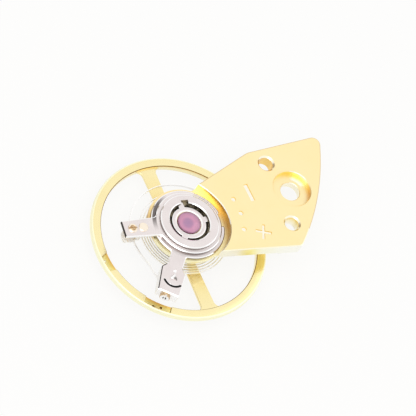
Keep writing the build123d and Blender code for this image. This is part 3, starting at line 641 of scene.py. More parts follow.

# The top of the stud: a painted highlight on one side and painted shade in grey on the other
stud_face = stained("stud_face", (10.0,), lambda f, centre: f.bearing(90.0, centre), 60.0, (
    (0.0, (0.98, 0.97, 0.96)), (90.0, (0.96, 0.95, 0.94)), (130.0, (0.55, 0.52, 0.50)),
    (180.0, (0.26, 0.24, 0.23)), (250.0, (0.34, 0.31, 0.30)), (300.0, (0.90, 0.88, 0.87)),
    (360.0, (0.98, 0.97, 0.96))), 0.26, 0.16, 0.0012, 0.9)


@once
def frosted_gilt(f):
    """Gilding over a fine frosted ground, as on a cock."""
    frost = f.clouds(38.0, 4.0)
    patches = f.between(f.clouds(0.7, 4.0), 0.35, 0.75)
    tint = f.mix(patches * 0.30 + f.between(frost, 0.62, 0.8) * 0.25, "gilt", "gilt_deep")
    return f.metal(tint, frost, 0.26 + patches * 0.05, 0.16, 0.0022)


@once
def turned_gilt(f):
    """Turned and gilded brass, as on a balance rim, deeper along its arms towards the hub as a painted shadow
    of the spring.
    """
    lines = f.rings(26.0)
    patches = f.between(f.clouds(0.9), 0.35, 0.75)
    arm_shadow = f.ramp(f.from_axis(), (2.0, (0.94, 0.73, 0.31)), (3.1, (0.98, 0.83, 0.41)), (4.1, "rim"))
    tint = f.mix(patches * 0.35 + lines * 0.15, arm_shadow, "rim_deep")
    return f.metal(tint, lines, 0.16 + patches * 0.05, 0.12, 0.0009)


@once
def cock_side(f):
    """Gilding on the cock's outer side: brown as painted shade on one side of the nose, pale as painted light
    under it and at the foot.
    """
    lines = f.clouds(12.0, 3.0, ROUND_WALL)
    nose = f.ramp(f.bearing(0.0) + (lines - 0.5) * 14.0, (0.0, (1.0, 0.93, 0.66)), (120.0, (0.80, 0.56, 0.24)),
                  (150.0, (0.56, 0.32, 0.10)), (176.0, (0.70, 0.44, 0.16)), (190.0, (1.0, 0.95, 0.66)),
                  (255.0, (1.0, 0.96, 0.70)), (300.0, (1.0, 0.93, 0.66)), (360.0, (1.0, 0.93, 0.66)))
    flank = f.ramp(f.part("X") + (lines - 0.5) * 0.8, (0.4, (1.0, 0.97, 0.78)), (1.9, (1.0, 0.97, 0.84)),
                   (2.6, (1.0, 0.93, 0.40)), (3.3, (1.0, 0.98, 0.74)), (4.6, (1.0, 0.995, 0.90)))
    tint = f.mix(f.between(f.part("X"), 0.2, 0.6), nose, flank)
    return f.metal(tint, lines, 0.26, 0.14, 0.0010, 0.7)


@once
def recess_floor(f):
    """Frosted gilding on the floor of the nose recess, brown as painted shade on one side of its edge and paler
    beyond it.
    """
    frost = f.clouds(38.0, 4.0)
    edge = f.ramp(f.bearing(0.0) + (f.clouds(3.0) - 0.5) * 16.0, (0.0, "gilt"), (120.0, (0.98, 0.80, 0.45)),
                  (146.0, (0.86, 0.60, 0.26)), (156.0, (0.66, 0.42, 0.15)), (172.0, (0.62, 0.38, 0.12)),
                  (184.0, (1.0, 0.94, 0.58)), (250.0, (1.0, 0.96, 0.62)), (300.0, (1.0, 0.88, 0.48)),
                  (360.0, "gilt"))
    return f.metal(f.mix(frost * 0.3, edge, "gilt_deep"), frost, 0.28, 0.16, 0.0022)


@once
def hole_wall(f):
    """Gilding in the cock's pin holes, with painted light and reflection: orange near the mouth and paler
    below.
    """
    lines = f.clouds(*WALL_LINES)
    down = f.ramp(f.part("Z") + (lines - 0.5) * 0.08, (cock_top - 0.65, (1.0, 0.95, 0.80)),
                  (cock_top - 0.35, (1.0, 0.89, 0.56)), (cock_top - 0.14, (1.0, 0.76, 0.28)),
                  (cock_top, (0.95, 0.62, 0.18)))
    warm = f.mix(lines, (1.0, 0.74, 0.26), (0.95, 0.62, 0.20))
    return f.metal(f.mix(f.between(f.part("Y"), -0.5, 0.5), down, warm), lines, 0.24, 0.14, 0.0012)


@once
def screw_floor(f, centre):
    """Frosted gilding under the cock screw, with a painted highlight on one side beside its head."""
    frost = f.clouds(38.0, 4.0)
    painted_glint = f.window(f.from_axis(centre), 0.74, 0.96, 0.07) \
        * f.window(f.bearing(180.0, centre), 188.0, 240.0, 10.0)
    tint = f.mix(painted_glint, f.mix(frost * 0.2, "gilt", "gilt_deep"), (1.0, 1.0, 0.98))
    return f.metal(tint, frost, 0.28, 0.16, 0.0022)


@once
def gilt_cut(f):
    """Gilding that the poising cutter went through, with its tool marks, paler towards its outer side and brown
    as painted shade at the foot of its outer wall.
    """
    marks = f.clouds(9.0)
    across = f.ramp(f.from_axis() + (marks - 0.5) * 0.06, (4.44, (0.96, 0.60, 0.15)), (4.55, (1.0, 0.72, 0.20)),
                    (4.66, (1.0, 0.86, 0.28)), (4.76, (1.0, 0.92, 0.42)), (4.84, (1.0, 0.78, 0.30)),
                    (4.89, (0.50, 0.29, 0.08)))
    tint = f.mix(f.between(marks, 0.50, 0.74) * 0.35, across, (0.76, 0.48, 0.15))
    return f.metal(tint, marks, 0.26, 0.16, 0.003)


@once
def satin_steel(f):
    """Satin steel with a circular grain round the balance axis, with a painted shadow and reflection on the
    carrier's ring beside the index, and painted shade in one part.
    """
    lines = f.rings(30.0)
    patches = f.between(f.clouds(1.1, 4.0), 0.35, 0.72)
    plain = f.mix(patches * 0.3 + lines * 0.2, "steel", "steel_deep")
    reach, around = f.from_axis(), f.bearing(0.0)
    painted_shadow = f.window(reach, 1.87, 2.10, 0.03) * f.window(around, 112.0, 166.0, 14.0)
    shade = f.window(reach, 1.68, 2.12, 0.05) * f.window(around, 215.0, 318.0, 18.0)
    shaded_plain = f.mix(shade * 0.5, plain, (0.62, 0.57, 0.55))
    tint = f.mix(painted_shadow * 0.95, shaded_plain, (0.15, 0.13, 0.125))
    return f.metal(tint, lines, 0.20 + patches * 0.06, 0.14, 0.0010)


@once
def ruby_stone(f):
    """Synthetic ruby, darker in its middle as the well seen through it painted in, with a paler ring off its
    middle as a painted highlight and painted shade at its girdle.
    """
    cloud = f.clouds(1.5) * 0.12
    across = f.ramp(f.from_axis((-0.14, -0.05)) + cloud, (0.10, (0.52, 0.27, 0.50)), (0.30, (0.60, 0.29, 0.52)),
                    (0.44, (0.90, 0.38, 0.60)), (0.62, (0.84, 0.34, 0.56)), (0.78, (0.60, 0.25, 0.42)))
    girdle_shade = f.mix(f.between(f.from_axis() + cloud, 0.64, 0.72), across, (0.22, 0.06, 0.14))
    return f.close(Base_Color=f.mix(0.12, girdle_shade, "ruby"), Metallic=0.0, Roughness=0.06 + f.clouds(8.0) * 0.05,
                   IOR=1.77, Coat_Weight=0.5, Transmission_Weight=0.25)


# Geometry Nodes
def new_group(name, inputs):
    """A geometry node tree with (name, kind) inputs: the tree, its nodes and what its inputs give."""
    tree = bpy.data.node_groups.new(name, "GeometryNodeTree")
    for given, kind in inputs:
        tree.interface.new_socket(name=given, in_out="INPUT", socket_type="NodeSocket" + kind)
    tree.interface.new_socket(name="Geometry", in_out="OUTPUT", socket_type="NodeSocketGeometry")
    nodes = Nodes(tree)
    return tree, nodes, nodes.node("NodeGroupInput").outputs


def end_group(nodes, geometry, material):
    """Ends a tree in Realize Instances and Set Material."""
    real = nodes.node("GeometryNodeRealizeInstances", None, {"Geometry": geometry})
    painted = nodes.node("GeometryNodeSetMaterial", None, {"Geometry": real.outputs[0], "Material": material})
    nodes.node("NodeGroupOutput", None, {0: painted.outputs[0]})


def grown(thing, tree, values):
    """The mesh that a tree makes of an object, with its inputs set by their names."""
    step = thing.modifiers.new("Rule", "NODES")
    step.node_group = tree
    for item in tree.interface.items_tree:
        if item.in_out == "INPUT" and item.name in values:
            step[item.identifier] = values[item.name]
    return settled(thing)


def copies_group():
    """The tree that sets a copy of a shape on each point, turned by the point's own angle."""
    name = "Copies on points"
    if name in bpy.data.node_groups:
        return bpy.data.node_groups[name]
    tree, nodes, given = new_group(
        name, (("Points", "Geometry"), ("Shape", "Object"), ("Material", "Material")))
    shape = nodes.node("GeometryNodeObjectInfo", None, {"Object": given["Shape"], "As Instance": True})
    angle = nodes.node("GeometryNodeInputNamedAttribute", {"data_type": "FLOAT"}, {"Name": "turn"})
    swung = nodes.node("ShaderNodeCombineXYZ", None, {"Z": angle.outputs["Attribute"]})
    spread = nodes.node("GeometryNodeInstanceOnPoints", None, {
        "Points": given["Points"], "Instance": shape.outputs["Geometry"], "Rotation": swung.outputs[0]})
    end_group(nodes, spread.outputs[0], given["Material"])
    return tree


def copies(shape, places, material):
    """Copies of a working object, one for each (point, angle), as one working object."""
    mesh = bpy.data.meshes.new("points")
    mesh.from_pydata([(*point, 0.0) for point, _ in places], [], [])
    mesh.attributes.new("turn", "FLOAT", "POINT").data.foreach_set(
        "value", [math.radians(angle) for _, angle in places])
    made = placed("work", mesh)
    made.data = grown(made, copies_group(), {"Shape": shape, "Material": material})
    bpy.data.meshes.remove(shape.data)
    return made


PACK_END = -63.0            # degrees where the spring's close turns end
OUTER_START, OUTER_END = 57.0, 199.0    # degrees between which its outer turn is round
SPRING_POINT_STEP = 4.0     # degrees between the points of the spring
SPRING_TAIL = 1.6           # degrees that the strip runs past the middle of the stud
SPRING_HOLD = 0.86          # how far out, as a share of its outer turn, a point is worked out that is not used
SPRING_NUMBERS = ("Strip", "Height", "Level", "Inner", "Pack", "Outer", "Stud", "First Angle", "Pack End",
                  "Outer Start", "Outer End", "Stud Angle", "Tail")


def hairspring_group():
    """The tree that winds a strip: close turns, a sweep outwards, a round turn and a reach to the stud."""
    tree, nodes, given = new_group("Hairspring", (
        ("Path", "Geometry"), *((name, "Float") for name in SPRING_NUMBERS), ("Material", "Material")))
    (strip, height, level, inner, pack, outer, stud, first, pack_end, outer_start, outer_end, last,
     tail) = (Value(nodes, given[name]) for name in SPRING_NUMBERS)
    run = nodes.value("GeometryNodeSplineParameter", None, None, "Factor")
    angle = first + run * (last + tail - first)

    def rise(start, end, kind, bottom, top):
        return nodes.value("ShaderNodeMapRange", {"interpolation_type": kind},
                           {0: angle, 1: start, 2: end, 3: bottom, 4: top})

    radius = (rise(first, pack_end, "LINEAR", inner, pack)
              + rise(pack_end, outer_start, "SMOOTHSTEP", 0.0, outer - pack)
              + rise(outer_end, last, "SMOOTHSTEP", 0.0, stud - outer))
    place = nodes.node("ShaderNodeCombineXYZ", None, {
        "X": radius * angle.math("COSINE"), "Y": radius * angle.math("SINE"), "Z": level})
    moved = nodes.node("GeometryNodeSetPosition", None,
                       {"Geometry": given["Path"], "Position": place.outputs[0]})
    upright = nodes.node("GeometryNodeSetCurveNormal", {"mode": "Z_UP"}, {"Curve": moved.outputs[0]})
    section = nodes.node("GeometryNodeCurvePrimitiveQuadrilateral", {"mode": "RECTANGLE"},
                         {"Width": strip, "Height": height})
    wound = nodes.node("GeometryNodeCurveToMesh", None, {
        "Curve": upright.outputs[0], "Profile Curve": section.outputs[0], "Fill Caps": True})
    end_group(nodes, wound.outputs[0], given["Material"])
    return tree


# Operators, one for each piece or group of like pieces
COCK_NOSE = 2.24
COCK_REACH, COCK_LEFT, COCK_RIGHT = 9.94, 2.97, 3.17
COCK_TIP, COCK_BEND, COCK_HEEL = (1.0, 0.939), (0.529, 1.0), (0.564, -1.0)
COCK_NECKS = (0.087, 0.592), (0.030, -0.647)        # where its long edges would reach the nose
COCK_HEEL_ROUND, COCK_TIP_ROUND, COCK_BEND_ROUND = 0.30, 0.40, 1.20
COCK_BULGE_SHARE, COCK_BACK_POINTS = 0.06, 12
COCK_THICKNESS, FOOT_START = 0.65, 5.30
RECESS, RECESS_EXIT, RECESS_FLOOR, RECESS_FLARE = 2.33, 20.0, 2.83, 0.045
RECESS_TURN, RECESS_WIDEN = 16.0, 1.57      # where its wall opens out, and by how much its radius grows
RECESS_WALL_END, RECESS_MOUTH_END = 0.22, 0.30      # how far outside its radius both still count as its own
RECESS_BRIGHT = (-20, 62)                   # degrees between which its mouth is near white as a painted highlight
SPIGOT_HOLE = 1.285                         # the hole for the block's spigot
# SCREW_BRIGHT gives the degrees between which the screw recess's mouth is near white as a painted highlight
SCREW_SHARE, SCREW_BRIGHT = (0.678, 0.071), (16, 68)
SCREW_HOLE, SCREW_RECESS, SCREW_DEPTH = 0.55, 1.08, 0.32
SCREW_MOUTH, SCREW_FLARE = 0.03, 0.035
PIN_SHARES = ((0.607, 0.690), (0.573, -0.552))
PIN_HOLE, PIN_MOUTH = 0.40, 0.09
MINUS_MARK = ((4.18, 0.67), 1.06, 0.25, 89.0)       # middle, length, width, direction
PLUS_MARK = ((3.82, -1.77), 0.92, 0.16, 63.0)
DOT_MARKS, DOT_RADIUS = ((3.10, 0.55), (3.10, -0.35), (2.80, -1.30)), 0.14
MARK_SLOPE = 0.4                            # how far a mark's wall leans in, for its depth
FAR_SIDE_X, FAR_SIDE_Y = 6.3, 1.2                   # past either of these the cock's upper edge is brown as painted shade


def cock_point(shares):
    """A place on the cock, from its shares of the reach and of the side that it lies on."""
    return Vector((shares[0] * COCK_REACH, shares[1] * (COCK_LEFT if shares[1] > 0 else COCK_RIGHT)))


class BALANCE_OT_cock(bpy.types.Operator):
    """Makes the gilt cock with its recesses, holes and engraved marks"""
    bl_idname = "balance.make_cock"
    bl_label = "Cock"
    bl_options = {"REGISTER", "UNDO"}

    def execute(self, context):
        sizes, gilt, cut = context.scene.balance_details, frosted_gilt(), bright_cut()
        edge, seat = sizes.cock_edge / MM, cock_top - SCREW_DEPTH
        screw, *pins = (cock_point(shares) for shares in (SCREW_SHARE, *PIN_SHARES))
        cock = plate(self.outline(), foot_bottom, cock_top, gilt, edge, EASE)
        cutters = [
            bored(FOOT_START, foot_bottom, cock_top - COCK_THICKNESS - OVERRUN, gilt, count=TURN_COUNT * 2),
            flared(self.recess(), RECESS_FLOOR, cock_top, RECESS_FLARE, gilt),
            bored(SPIGOT_HOLE, foot_bottom, RECESS_FLOOR, gilt),
            bored(SCREW_HOLE, foot_bottom, seat, gilt, screw, SCREW_MOUTH),
            flared(arc(SCREW_RECESS, 0, 360, screw)[:-1], seat, cock_top, SCREW_FLARE, gilt),
        ]
        cutters += [bored(PIN_HOLE, foot_bottom, cock_top, gilt, place, PIN_MOUTH) for place in pins]
        merged(merged(cock, "DIFFERENCE", *cutters), "DIFFERENCE", *self.marks(sizes.mark_depth / MM, cut))
        self.dress(cock, edge, seat, screw, pins, gilt, cut)
        piece(cock, "cock_plate", "cock", "gilt_plate", "balance_cock")
        return {"FINISHED"}

    def outline(self):
        """The cock seen from above."""
        tip, bend, heel = (cock_point(shares) for shares in (COCK_TIP, COCK_BEND, COCK_HEEL))
        left, right = (meet_circle(cock_point(shares), far, COCK_NOSE)
                       for shares, far in zip(COCK_NECKS, (bend, heel)))
        back = tip - heel
        outwards = Vector((back.y, -back.x)) * COCK_BULGE_SHARE * 4
        curve = [(heel + back * t + outwards * t * (1 - t), 0)
                 for t in (i / COCK_BACK_POINTS for i in range(1, COCK_BACK_POINTS))]
        corners = [(right, 0), (heel, COCK_HEEL_ROUND), *curve, (tip, COCK_TIP_ROUND),
                   (bend, COCK_BEND_ROUND), (left, 0)]
        return rounded(corners) + arc(COCK_NOSE, bearing(left), bearing(right) + 360)[1:-1]

    def recess(self):
        """The nose recess seen from above, with the arc on which its wall leaves the cock."""
        leaving = arc(RECESS + RECESS_WIDEN, RECESS_TURN, RECESS_TURN + 50, -polar(RECESS_WIDEN, RECESS_TURN))
        return arc(RECESS, RECESS_EXIT + 90, RECESS_TURN + 360) + leaving[1:] \
            + [along(RECESS_EXIT, 0, COCK_LEFT + OVERRUN)]

    def marks(self, depth, cut):
        """Cutters for the dots, the minus and the plus."""
        floor, slope, above = cock_top - depth, depth * MARK_SLOPE, cock_top + OVERRUN
        dot = turned([(0, floor), (DOT_RADIUS - slope, floor), (DOT_RADIUS, cock_top), (DOT_RADIUS, above),
                      (0, above)], cut, count=24)
        marks = [copies(dot, [(place, 0.0) for place in DOT_MARKS], cut)]
        for outline in (bar(*MINUS_MARK), bar(*PLUS_MARK), bar(*PLUS_MARK[:3], PLUS_MARK[3] + 90)):
            marks.append(stack([(inset(outline, slope), floor), (outline, cock_top), (outline, above)], cut))
        return marks

    def dress(self, cock, edge, seat, screw, pins, gilt, cut):
        """Gives each face of the cock its finish."""
        carved = list(cock.data.materials).index(cut)
        engraved = {face.index for face in cock.data.polygons if face.material_index == carved}

        def worn(f):
            return f.middle.x > FAR_SIDE_X or f.middle.y > FAR_SIDE_Y

        def at_pin(f, radius):
            return any(f.off(place) < radius for place in pins)

        def by_screw(f):
            return f.off(screw) < SCREW_RECESS + SCREW_FLARE + AT_LEVEL

        dressed(
            cock,
            # Sides: pale as painted light, brown as painted shade beside the nose
            (cock_side(), lambda f: f.sloped),
            # Upper bevels: brown as painted shade on the far side, paler as a painted highlight elsewhere
            (worn_bevel(), lambda f: f.bevel and f.z > cock_top - edge and worn(f)),
            (gilt_bevel(), lambda f: f.bevel and not worn(f)),
            (gilt, by_screw),
            # Screw recess: its wall with painted reflection and shade
            (screw_wall(screw[:]), lambda f: f.side and abs(f.off(screw) - SCREW_RECESS) < SLACK),
            # A painted highlight on part of the screw recess's mouth bevel
            (cut, lambda f: f.bevel and by_screw(f)
             and SCREW_BRIGHT[0] < bearing(f.middle.xy - screw) < SCREW_BRIGHT[1]),
            # Pin holes: mouth bevels paler as a painted highlight, walls with painted light and reflection
            (gilt_bevel(), lambda f: f.sloped and at_pin(f, PIN_HOLE + PIN_MOUTH + SLACK)),
            (hole_wall(), lambda f: f.side and at_pin(f, PIN_HOLE + SLACK)),
            # Nose recess: its wall and floor with painted reflection and shade
            (gilt_recess(), lambda f: f.side and f.inwards and f.z > RECESS_FLOOR
             and f.reach < RECESS + RECESS_WALL_END),
            # A painted highlight on part of the nose recess's mouth bevel
            (cut, lambda f: f.bevel and f.inwards and RECESS - NEAR < f.reach < RECESS + RECESS_MOUTH_END
             and RECESS_BRIGHT[0] < bearing(f.middle.xy) < RECESS_BRIGHT[1]),
            # The recess floor, brown as painted shade along one side
            (recess_floor(), lambda f: f.up and abs(f.z - RECESS_FLOOR) < AT_LEVEL),
            # The screw's seat, with a painted highlight on one side
            (screw_floor(screw[:]), lambda f: f.up and abs(f.z - seat) < AT_LEVEL),
            # The screw hole's wall paler as painted light
            (gilt_bevel(), lambda f: f.side and f.off(screw) < SCREW_HOLE + SLACK),
            (gilt_under(), lambda f: f.down),
            # Engraved marks: floors near white as a painted highlight, walls deeper as painted shade
            (cut, lambda f: f.index in engraved),
            (gilt_wall(), lambda f: f.index in engraved and abs(f.normal.z) <= FLAT),
        )


FLANGE, BLOCK_NECK, BLOCK_SPIGOT = 1.66, 1.45, 1.28
BLOCK_WELL, BLOCK_MOUTH, BLOCK_OPENING = 1.10, 1.15, 0.30
GROOVE, GROOVE_GAP = 1.33, 0.03
NOTCH_ANGLE, NOTCH_WIDTH = 77.0, 0.42
LUGS, LUG_WIDTH, LUG_REACH, LUG_ROUND = (87.0, -3.0, 228.0), 0.34, 1.28, 0.05
RING_INNER, RING_OUTER, RING_LIP, RING_LIP_FALL = 0.70, 0.97, 0.08, 0.035
SETTING_RADIUS, SETTING_FOOT, SETTING_CONE = 0.92, 0.82, 0.10
CAP_SEAT, CAP_RADIUS, CAP_WALL = 0.665, 0.66, 0.12
DOME_STEPS = 14
STONE_SEAT, STONE_RADIUS, STONE_HOLE = 0.425, 0.42, 0.065


class BALANCE_OT_shock_setting(bpy.types.Operator):
    """Makes the shock block, its three-lugged spring, the setting and both jewels"""
    bl_idname = "balance.make_shock_setting"
    bl_label = "Shock Setting"
    bl_options = {"REGISTER", "UNDO"}

    def execute(self, context):
        edge, steel = context.scene.balance_details.steel_edge / MM, satin_steel()
        self.block(edge, steel)
        self.spring(steel)
        self.setting(ruby_stone())
        return {"FINISHED"}

    def block(self, edge, steel):
        """The flanged block with its well, lip groove and entry notch."""
        fall, groove_top, groove_bottom = edge * BEVEL_FALL, lug_top + GROOVE_GAP, lug_bottom - GROOVE_GAP
        block = turned([
            (BLOCK_OPENING, block_bottom), (BLOCK_SPIGOT - EASE, block_bottom),
            (BLOCK_SPIGOT, block_bottom + EASE), (BLOCK_SPIGOT, RECESS_FLOOR), (BLOCK_NECK, RECESS_FLOOR),
            (BLOCK_NECK, FLANGE_BOTTOM), (FLANGE - FINE, FLANGE_BOTTOM), (FLANGE, FLANGE_BOTTOM + FINE),
            (FLANGE, cock_top - fall), (FLANGE - edge, cock_top), (BLOCK_MOUTH + edge, cock_top),
            (BLOCK_MOUTH, cock_top - fall), (BLOCK_MOUTH, groove_top), (GROOVE, groove_top),
            (GROOVE, groove_bottom), (BLOCK_WELL, groove_bottom), (BLOCK_WELL, setting_bottom),
            (BLOCK_OPENING, setting_bottom)], steel, count=TURN_COUNT * 2)
        notch = bar(polar(GROOVE / 2, NOTCH_ANGLE), GROOVE, NOTCH_WIDTH, NOTCH_ANGLE)
        merged(block, "DIFFERENCE", plate(notch, lug_top, cock_top + OVERRUN, steel))
        dressed(
            block,
            # The flange's side: painted light above a line of painted shadow
            (flange_side(), lambda f: f.side and f.reach > FLANGE - SLACK),
            # Bevels paler as a painted highlight
            (steel_bevel(), lambda f: f.bevel),
            # The well dark as painted shade
            (shaded_steel(), lambda f: f.reach < GROOVE + NEAR
             and setting_bottom - NEAR < f.z < cock_top - 0.04),
        )
        piece(block, "shock_block_body", "cock", "polished_steel", "shock_block")

    def spring(self, steel):
        """The spring ring and its three lugs."""
        half = LUG_WIDTH / 2
        ring = turned([(RING_INNER + THIN, lug_bottom), (RING_OUTER - THIN, lug_bottom),
                       (RING_OUTER, lug_bottom + THIN), (RING_OUTER, lug_top - THIN),
                       (RING_OUTER - THIN * 2, lug_top), (RING_INNER + RING_LIP, lug_top),
                       (RING_INNER, lug_top - RING_LIP_FALL), (RING_INNER, lug_bottom + THIN)], steel)
        root = (RING_INNER + RING_OUTER) / 2
        corners = [(root, -half, 0), (LUG_REACH, -half, LUG_ROUND), (LUG_REACH, half, LUG_ROUND),
                   (root, half, 0)]
        lug = plate(rounded([(Vector((x, y)), r) for x, y, r in corners]), lug_bottom, lug_top, steel,
                    THIN * 2, THIN)
        merged(ring, "UNION", copies(lug, [((0, 0), angle) for angle in LUGS], steel))
        dressed(
            ring,
            # Bevels paler as a painted highlight, the lip's bevel pale as painted light
            (steel_bevel(), lambda f: f.bevel),
            (pale_steel(), lambda f: f.bevel and f.reach < RING_INNER + RING_LIP + NEAR),
        )
        piece(ring, "shock_spring_ring", "shock_spring", "polished_steel", "shock_spring")

    def setting(self, stone):
        """The setting, the domed cap jewel and the hole jewel."""
        setting = turned([
            (BLOCK_OPENING, setting_bottom), (SETTING_FOOT, setting_bottom),
            (SETTING_RADIUS, setting_bottom + SETTING_CONE), (SETTING_RADIUS, setting_top - THIN),
            (SETTING_RADIUS - THIN, setting_top), (CAP_SEAT + THIN, setting_top),
            (CAP_SEAT, setting_top - THIN), (CAP_SEAT, cap_bottom), (STONE_SEAT, cap_bottom),
            (STONE_SEAT, stone_bottom), (BLOCK_OPENING, stone_bottom)], frosted_gilt())
        # Its outside, down in the block's well, dark as painted shade
        dressed(setting, (shaded_steel(), lambda f: f.reach > SETTING_RADIUS - SLACK))
        piece(setting, "jewel_setting_ring", "jewel_setting", "gilt_plate", "jewel_setting")

        wall = cap_bottom + CAP_WALL
        rise = cap_top - wall
        sphere = (CAP_RADIUS ** 2 + rise ** 2) / (2 * rise)
        leans = [math.asin(CAP_RADIUS / sphere) * (1 - i / DOME_STEPS) for i in range(1, DOME_STEPS)]
        cap = turned([
            (0, cap_bottom), (CAP_RADIUS - EASE, cap_bottom), (CAP_RADIUS, cap_bottom + EASE),
            (CAP_RADIUS, wall - THIN), (CAP_RADIUS - 0.006, wall + 0.004),
            *((sphere * math.sin(lean), cap_top - sphere * (1 - math.cos(lean))) for lean in leans),
            (0, cap_top)], stone)
        piece(cap, "cap_jewel_dome", "jewel_setting", "ruby", "cap_jewel")
        hole = turned(disc(STONE_HOLE, STONE_RADIUS, stone_bottom, stone_top, EASE, EASE, (0.25, stone_top),
                           (0.15, stone_top - 0.035), (STONE_HOLE, stone_top - 0.05)), stone)
        piece(hole, "hole_jewel_ring", "jewel_setting", "ruby", "hole_jewel")


INDEX_RING, INDEX_ANGLE, INDEX_REACH = 1.88, 169.7, 3.90
INDEX_ROOT, INDEX_END, INDEX_FILLET, INDEX_ROUND = 0.62, 0.49, 0.30, 0.04
RING_BORE = 1.465
CURB_PLACE, CURB_PIN, PIN_END = 2.72, 0.17, 0.03
KEY_PLACE, KEY_SHANK, KEY_SKIRT, KEY_SKIRT_HEIGHT = 3.35, 0.16, 0.38, 0.08
KEY_OVER_SPRING, KEY_UNDER_SPRING = 0.12, 0.07      # from the strip to the key's skirt and to its foot
KEY_CHEEK_WIDTH, KEY_CHEEK_ROOT, KEY_FOOT = 0.24, 0.15, 0.55
KEY_SLOT, KEY_SLOT_DEPTH = 0.08, 0.04
KEY_CHEEK_REACH = KEY_PLACE - 3.0 - 0.02 - 0.04     # to the gap beside the outer turn, which is 0.04 thick
POST_HEAD = 0.26


def post(place, profile, material):
    """A turned post on the index's middle line."""
    return turned(profile, material, polar(place, INDEX_ANGLE), 48)


def post_head(top):
    """The half section of a post's head, from the index up to its bevelled edge."""
    return [(POST_HEAD, index_top), (POST_HEAD, top - EASE), (POST_HEAD - 0.025, top)]


def steel_edges(ring):
    """Rules for a steel piece: its ring's side dark as painted shade, its arm's sides pale as painted light,
    and its polished bevels paler as a painted highlight.
    """
    return ((steel_side(), lambda f: f.side and f.reach < ring + SLACK),
            (pale_steel(), lambda f: f.side and f.reach >= ring + SLACK),
            (steel_bevel(), lambda f: f.bevel))


class BALANCE_OT_regulator(bpy.types.Operator):
    """Makes the regulator index with its curb pin and key"""
    bl_idname = "balance.make_regulator"
    bl_label = "Regulator"
    bl_options = {"REGISTER", "UNDO"}

    def execute(self, context):
        brass = post_brass()
        self.index(context.scene.balance_details.steel_edge / MM, satin_steel())
        pin = post(CURB_PLACE, [
            (0, post_bottom), (CURB_PIN - PIN_END, post_bottom), (CURB_PIN, post_bottom + PIN_END),
            (CURB_PIN, index_top), *post_head(post_top), (0, post_top)], brass)
        # Below the index, pale as painted light
        dressed(pin, (pale_brass(), lambda f: f.z < index_bottom))
        piece(pin, "curb_pin_post", "regulator", "brass_post", "curb_pin")
        self.key(brass)
        return {"FINISHED"}

    def index(self, edge, steel):
        """The index: a ring with one arm."""
        tip = [(INDEX_REACH, side, INDEX_ROUND) for side in (-INDEX_END, INDEX_END)]
        arm, (start, end) = arm_on_ring(INDEX_RING, INDEX_ANGLE, INDEX_ROOT, INDEX_FILLET, tip)
        index = plate(arm + arc(INDEX_RING, start, end)[1:-1], index_bottom, index_top, steel, edge, 0.012)
        holes = ((RING_BORE, (0.0, 0.0), TURN_COUNT), (CURB_PIN + PRESSED, polar(CURB_PLACE, INDEX_ANGLE), 32),
                 (KEY_SHANK + RUNNING, polar(KEY_PLACE, INDEX_ANGLE), 32))
        merged(index, "DIFFERENCE", *(bored(radius, index_bottom, index_top, steel, centre, EASE, count)
                                      for radius, centre, count in holes))
        way = polar(1, INDEX_ANGLE)
        dressed(
            index,
            *steel_edges(INDEX_RING),
            # The arm's end face black as a painted dark reflection
            (black_steel(), lambda f: f.sloped and f.looks(way, 0.75)
             and f.middle.xy.dot(way) > INDEX_REACH - 0.1),
        )
        piece(index, "regulator_index_plate", "regulator", "polished_steel", "regulator_index")

    def key(self, brass):
        """The key: a slotted post whose cheek and foot close the gap round the spring's outer turn."""
        shank_bottom = spring_top + KEY_OVER_SPRING
        centre, inwards = polar(KEY_PLACE, INDEX_ANGLE), INDEX_ANGLE + 180
        key = post(KEY_PLACE, [
            (0, shank_bottom), (KEY_SKIRT - 0.025, shank_bottom), (KEY_SKIRT, shank_bottom + EASE),
            (KEY_SKIRT, shank_bottom + 0.06), (KEY_SKIRT - EASE, shank_bottom + KEY_SKIRT_HEIGHT),
            (KEY_SHANK, shank_bottom + KEY_SKIRT_HEIGHT), (KEY_SHANK, index_top), *post_head(key_top),
            (0.17, key_top), (0.15, key_top - 0.02), (0.13, key_top), (0, key_top)], brass)

        def inner(reach, top, upper):
            """A bar from behind the key's axis in towards the staff."""
            middle = centre + polar((reach - KEY_CHEEK_ROOT) / 2, inwards)
            return plate(bar(middle, reach + KEY_CHEEK_ROOT, KEY_CHEEK_WIDTH, inwards), key_bottom, top, brass,
                         upper, FINE)

        merged(key, "UNION", inner(KEY_CHEEK_REACH, shank_bottom + 0.04, 0.0),
               inner(KEY_FOOT, spring_bottom - KEY_UNDER_SPRING, FINE))
        slot = bar(centre, 1.0, KEY_SLOT, INDEX_ANGLE)
        merged(key, "DIFFERENCE", plate(slot, key_top - KEY_SLOT_DEPTH, key_top + OVERRUN, brass))
        aside = polar(1, INDEX_ANGLE + 90)
        dressed(
            key,
            # Below the index, pale as painted light
            (pale_brass(), lambda f: f.z < index_bottom),
            (aged_brass(), lambda f: f.z > key_top - 0.03 and f.off(centre) < 0.16),
            # The slot's floor brown as painted shade
            (aged_brass(), lambda f: key_top - KEY_SLOT_DEPTH - NEAR < f.z < key_top - AT_LEVEL
             and f.off(centre) < POST_HEAD - NEAR
             and abs((f.middle.xy - centre).dot(aside)) < KEY_SLOT / 2 + NEAR),
        )
        piece(key, "regulator_key_post", "regulator_key", "brass_post", "regulator_key")


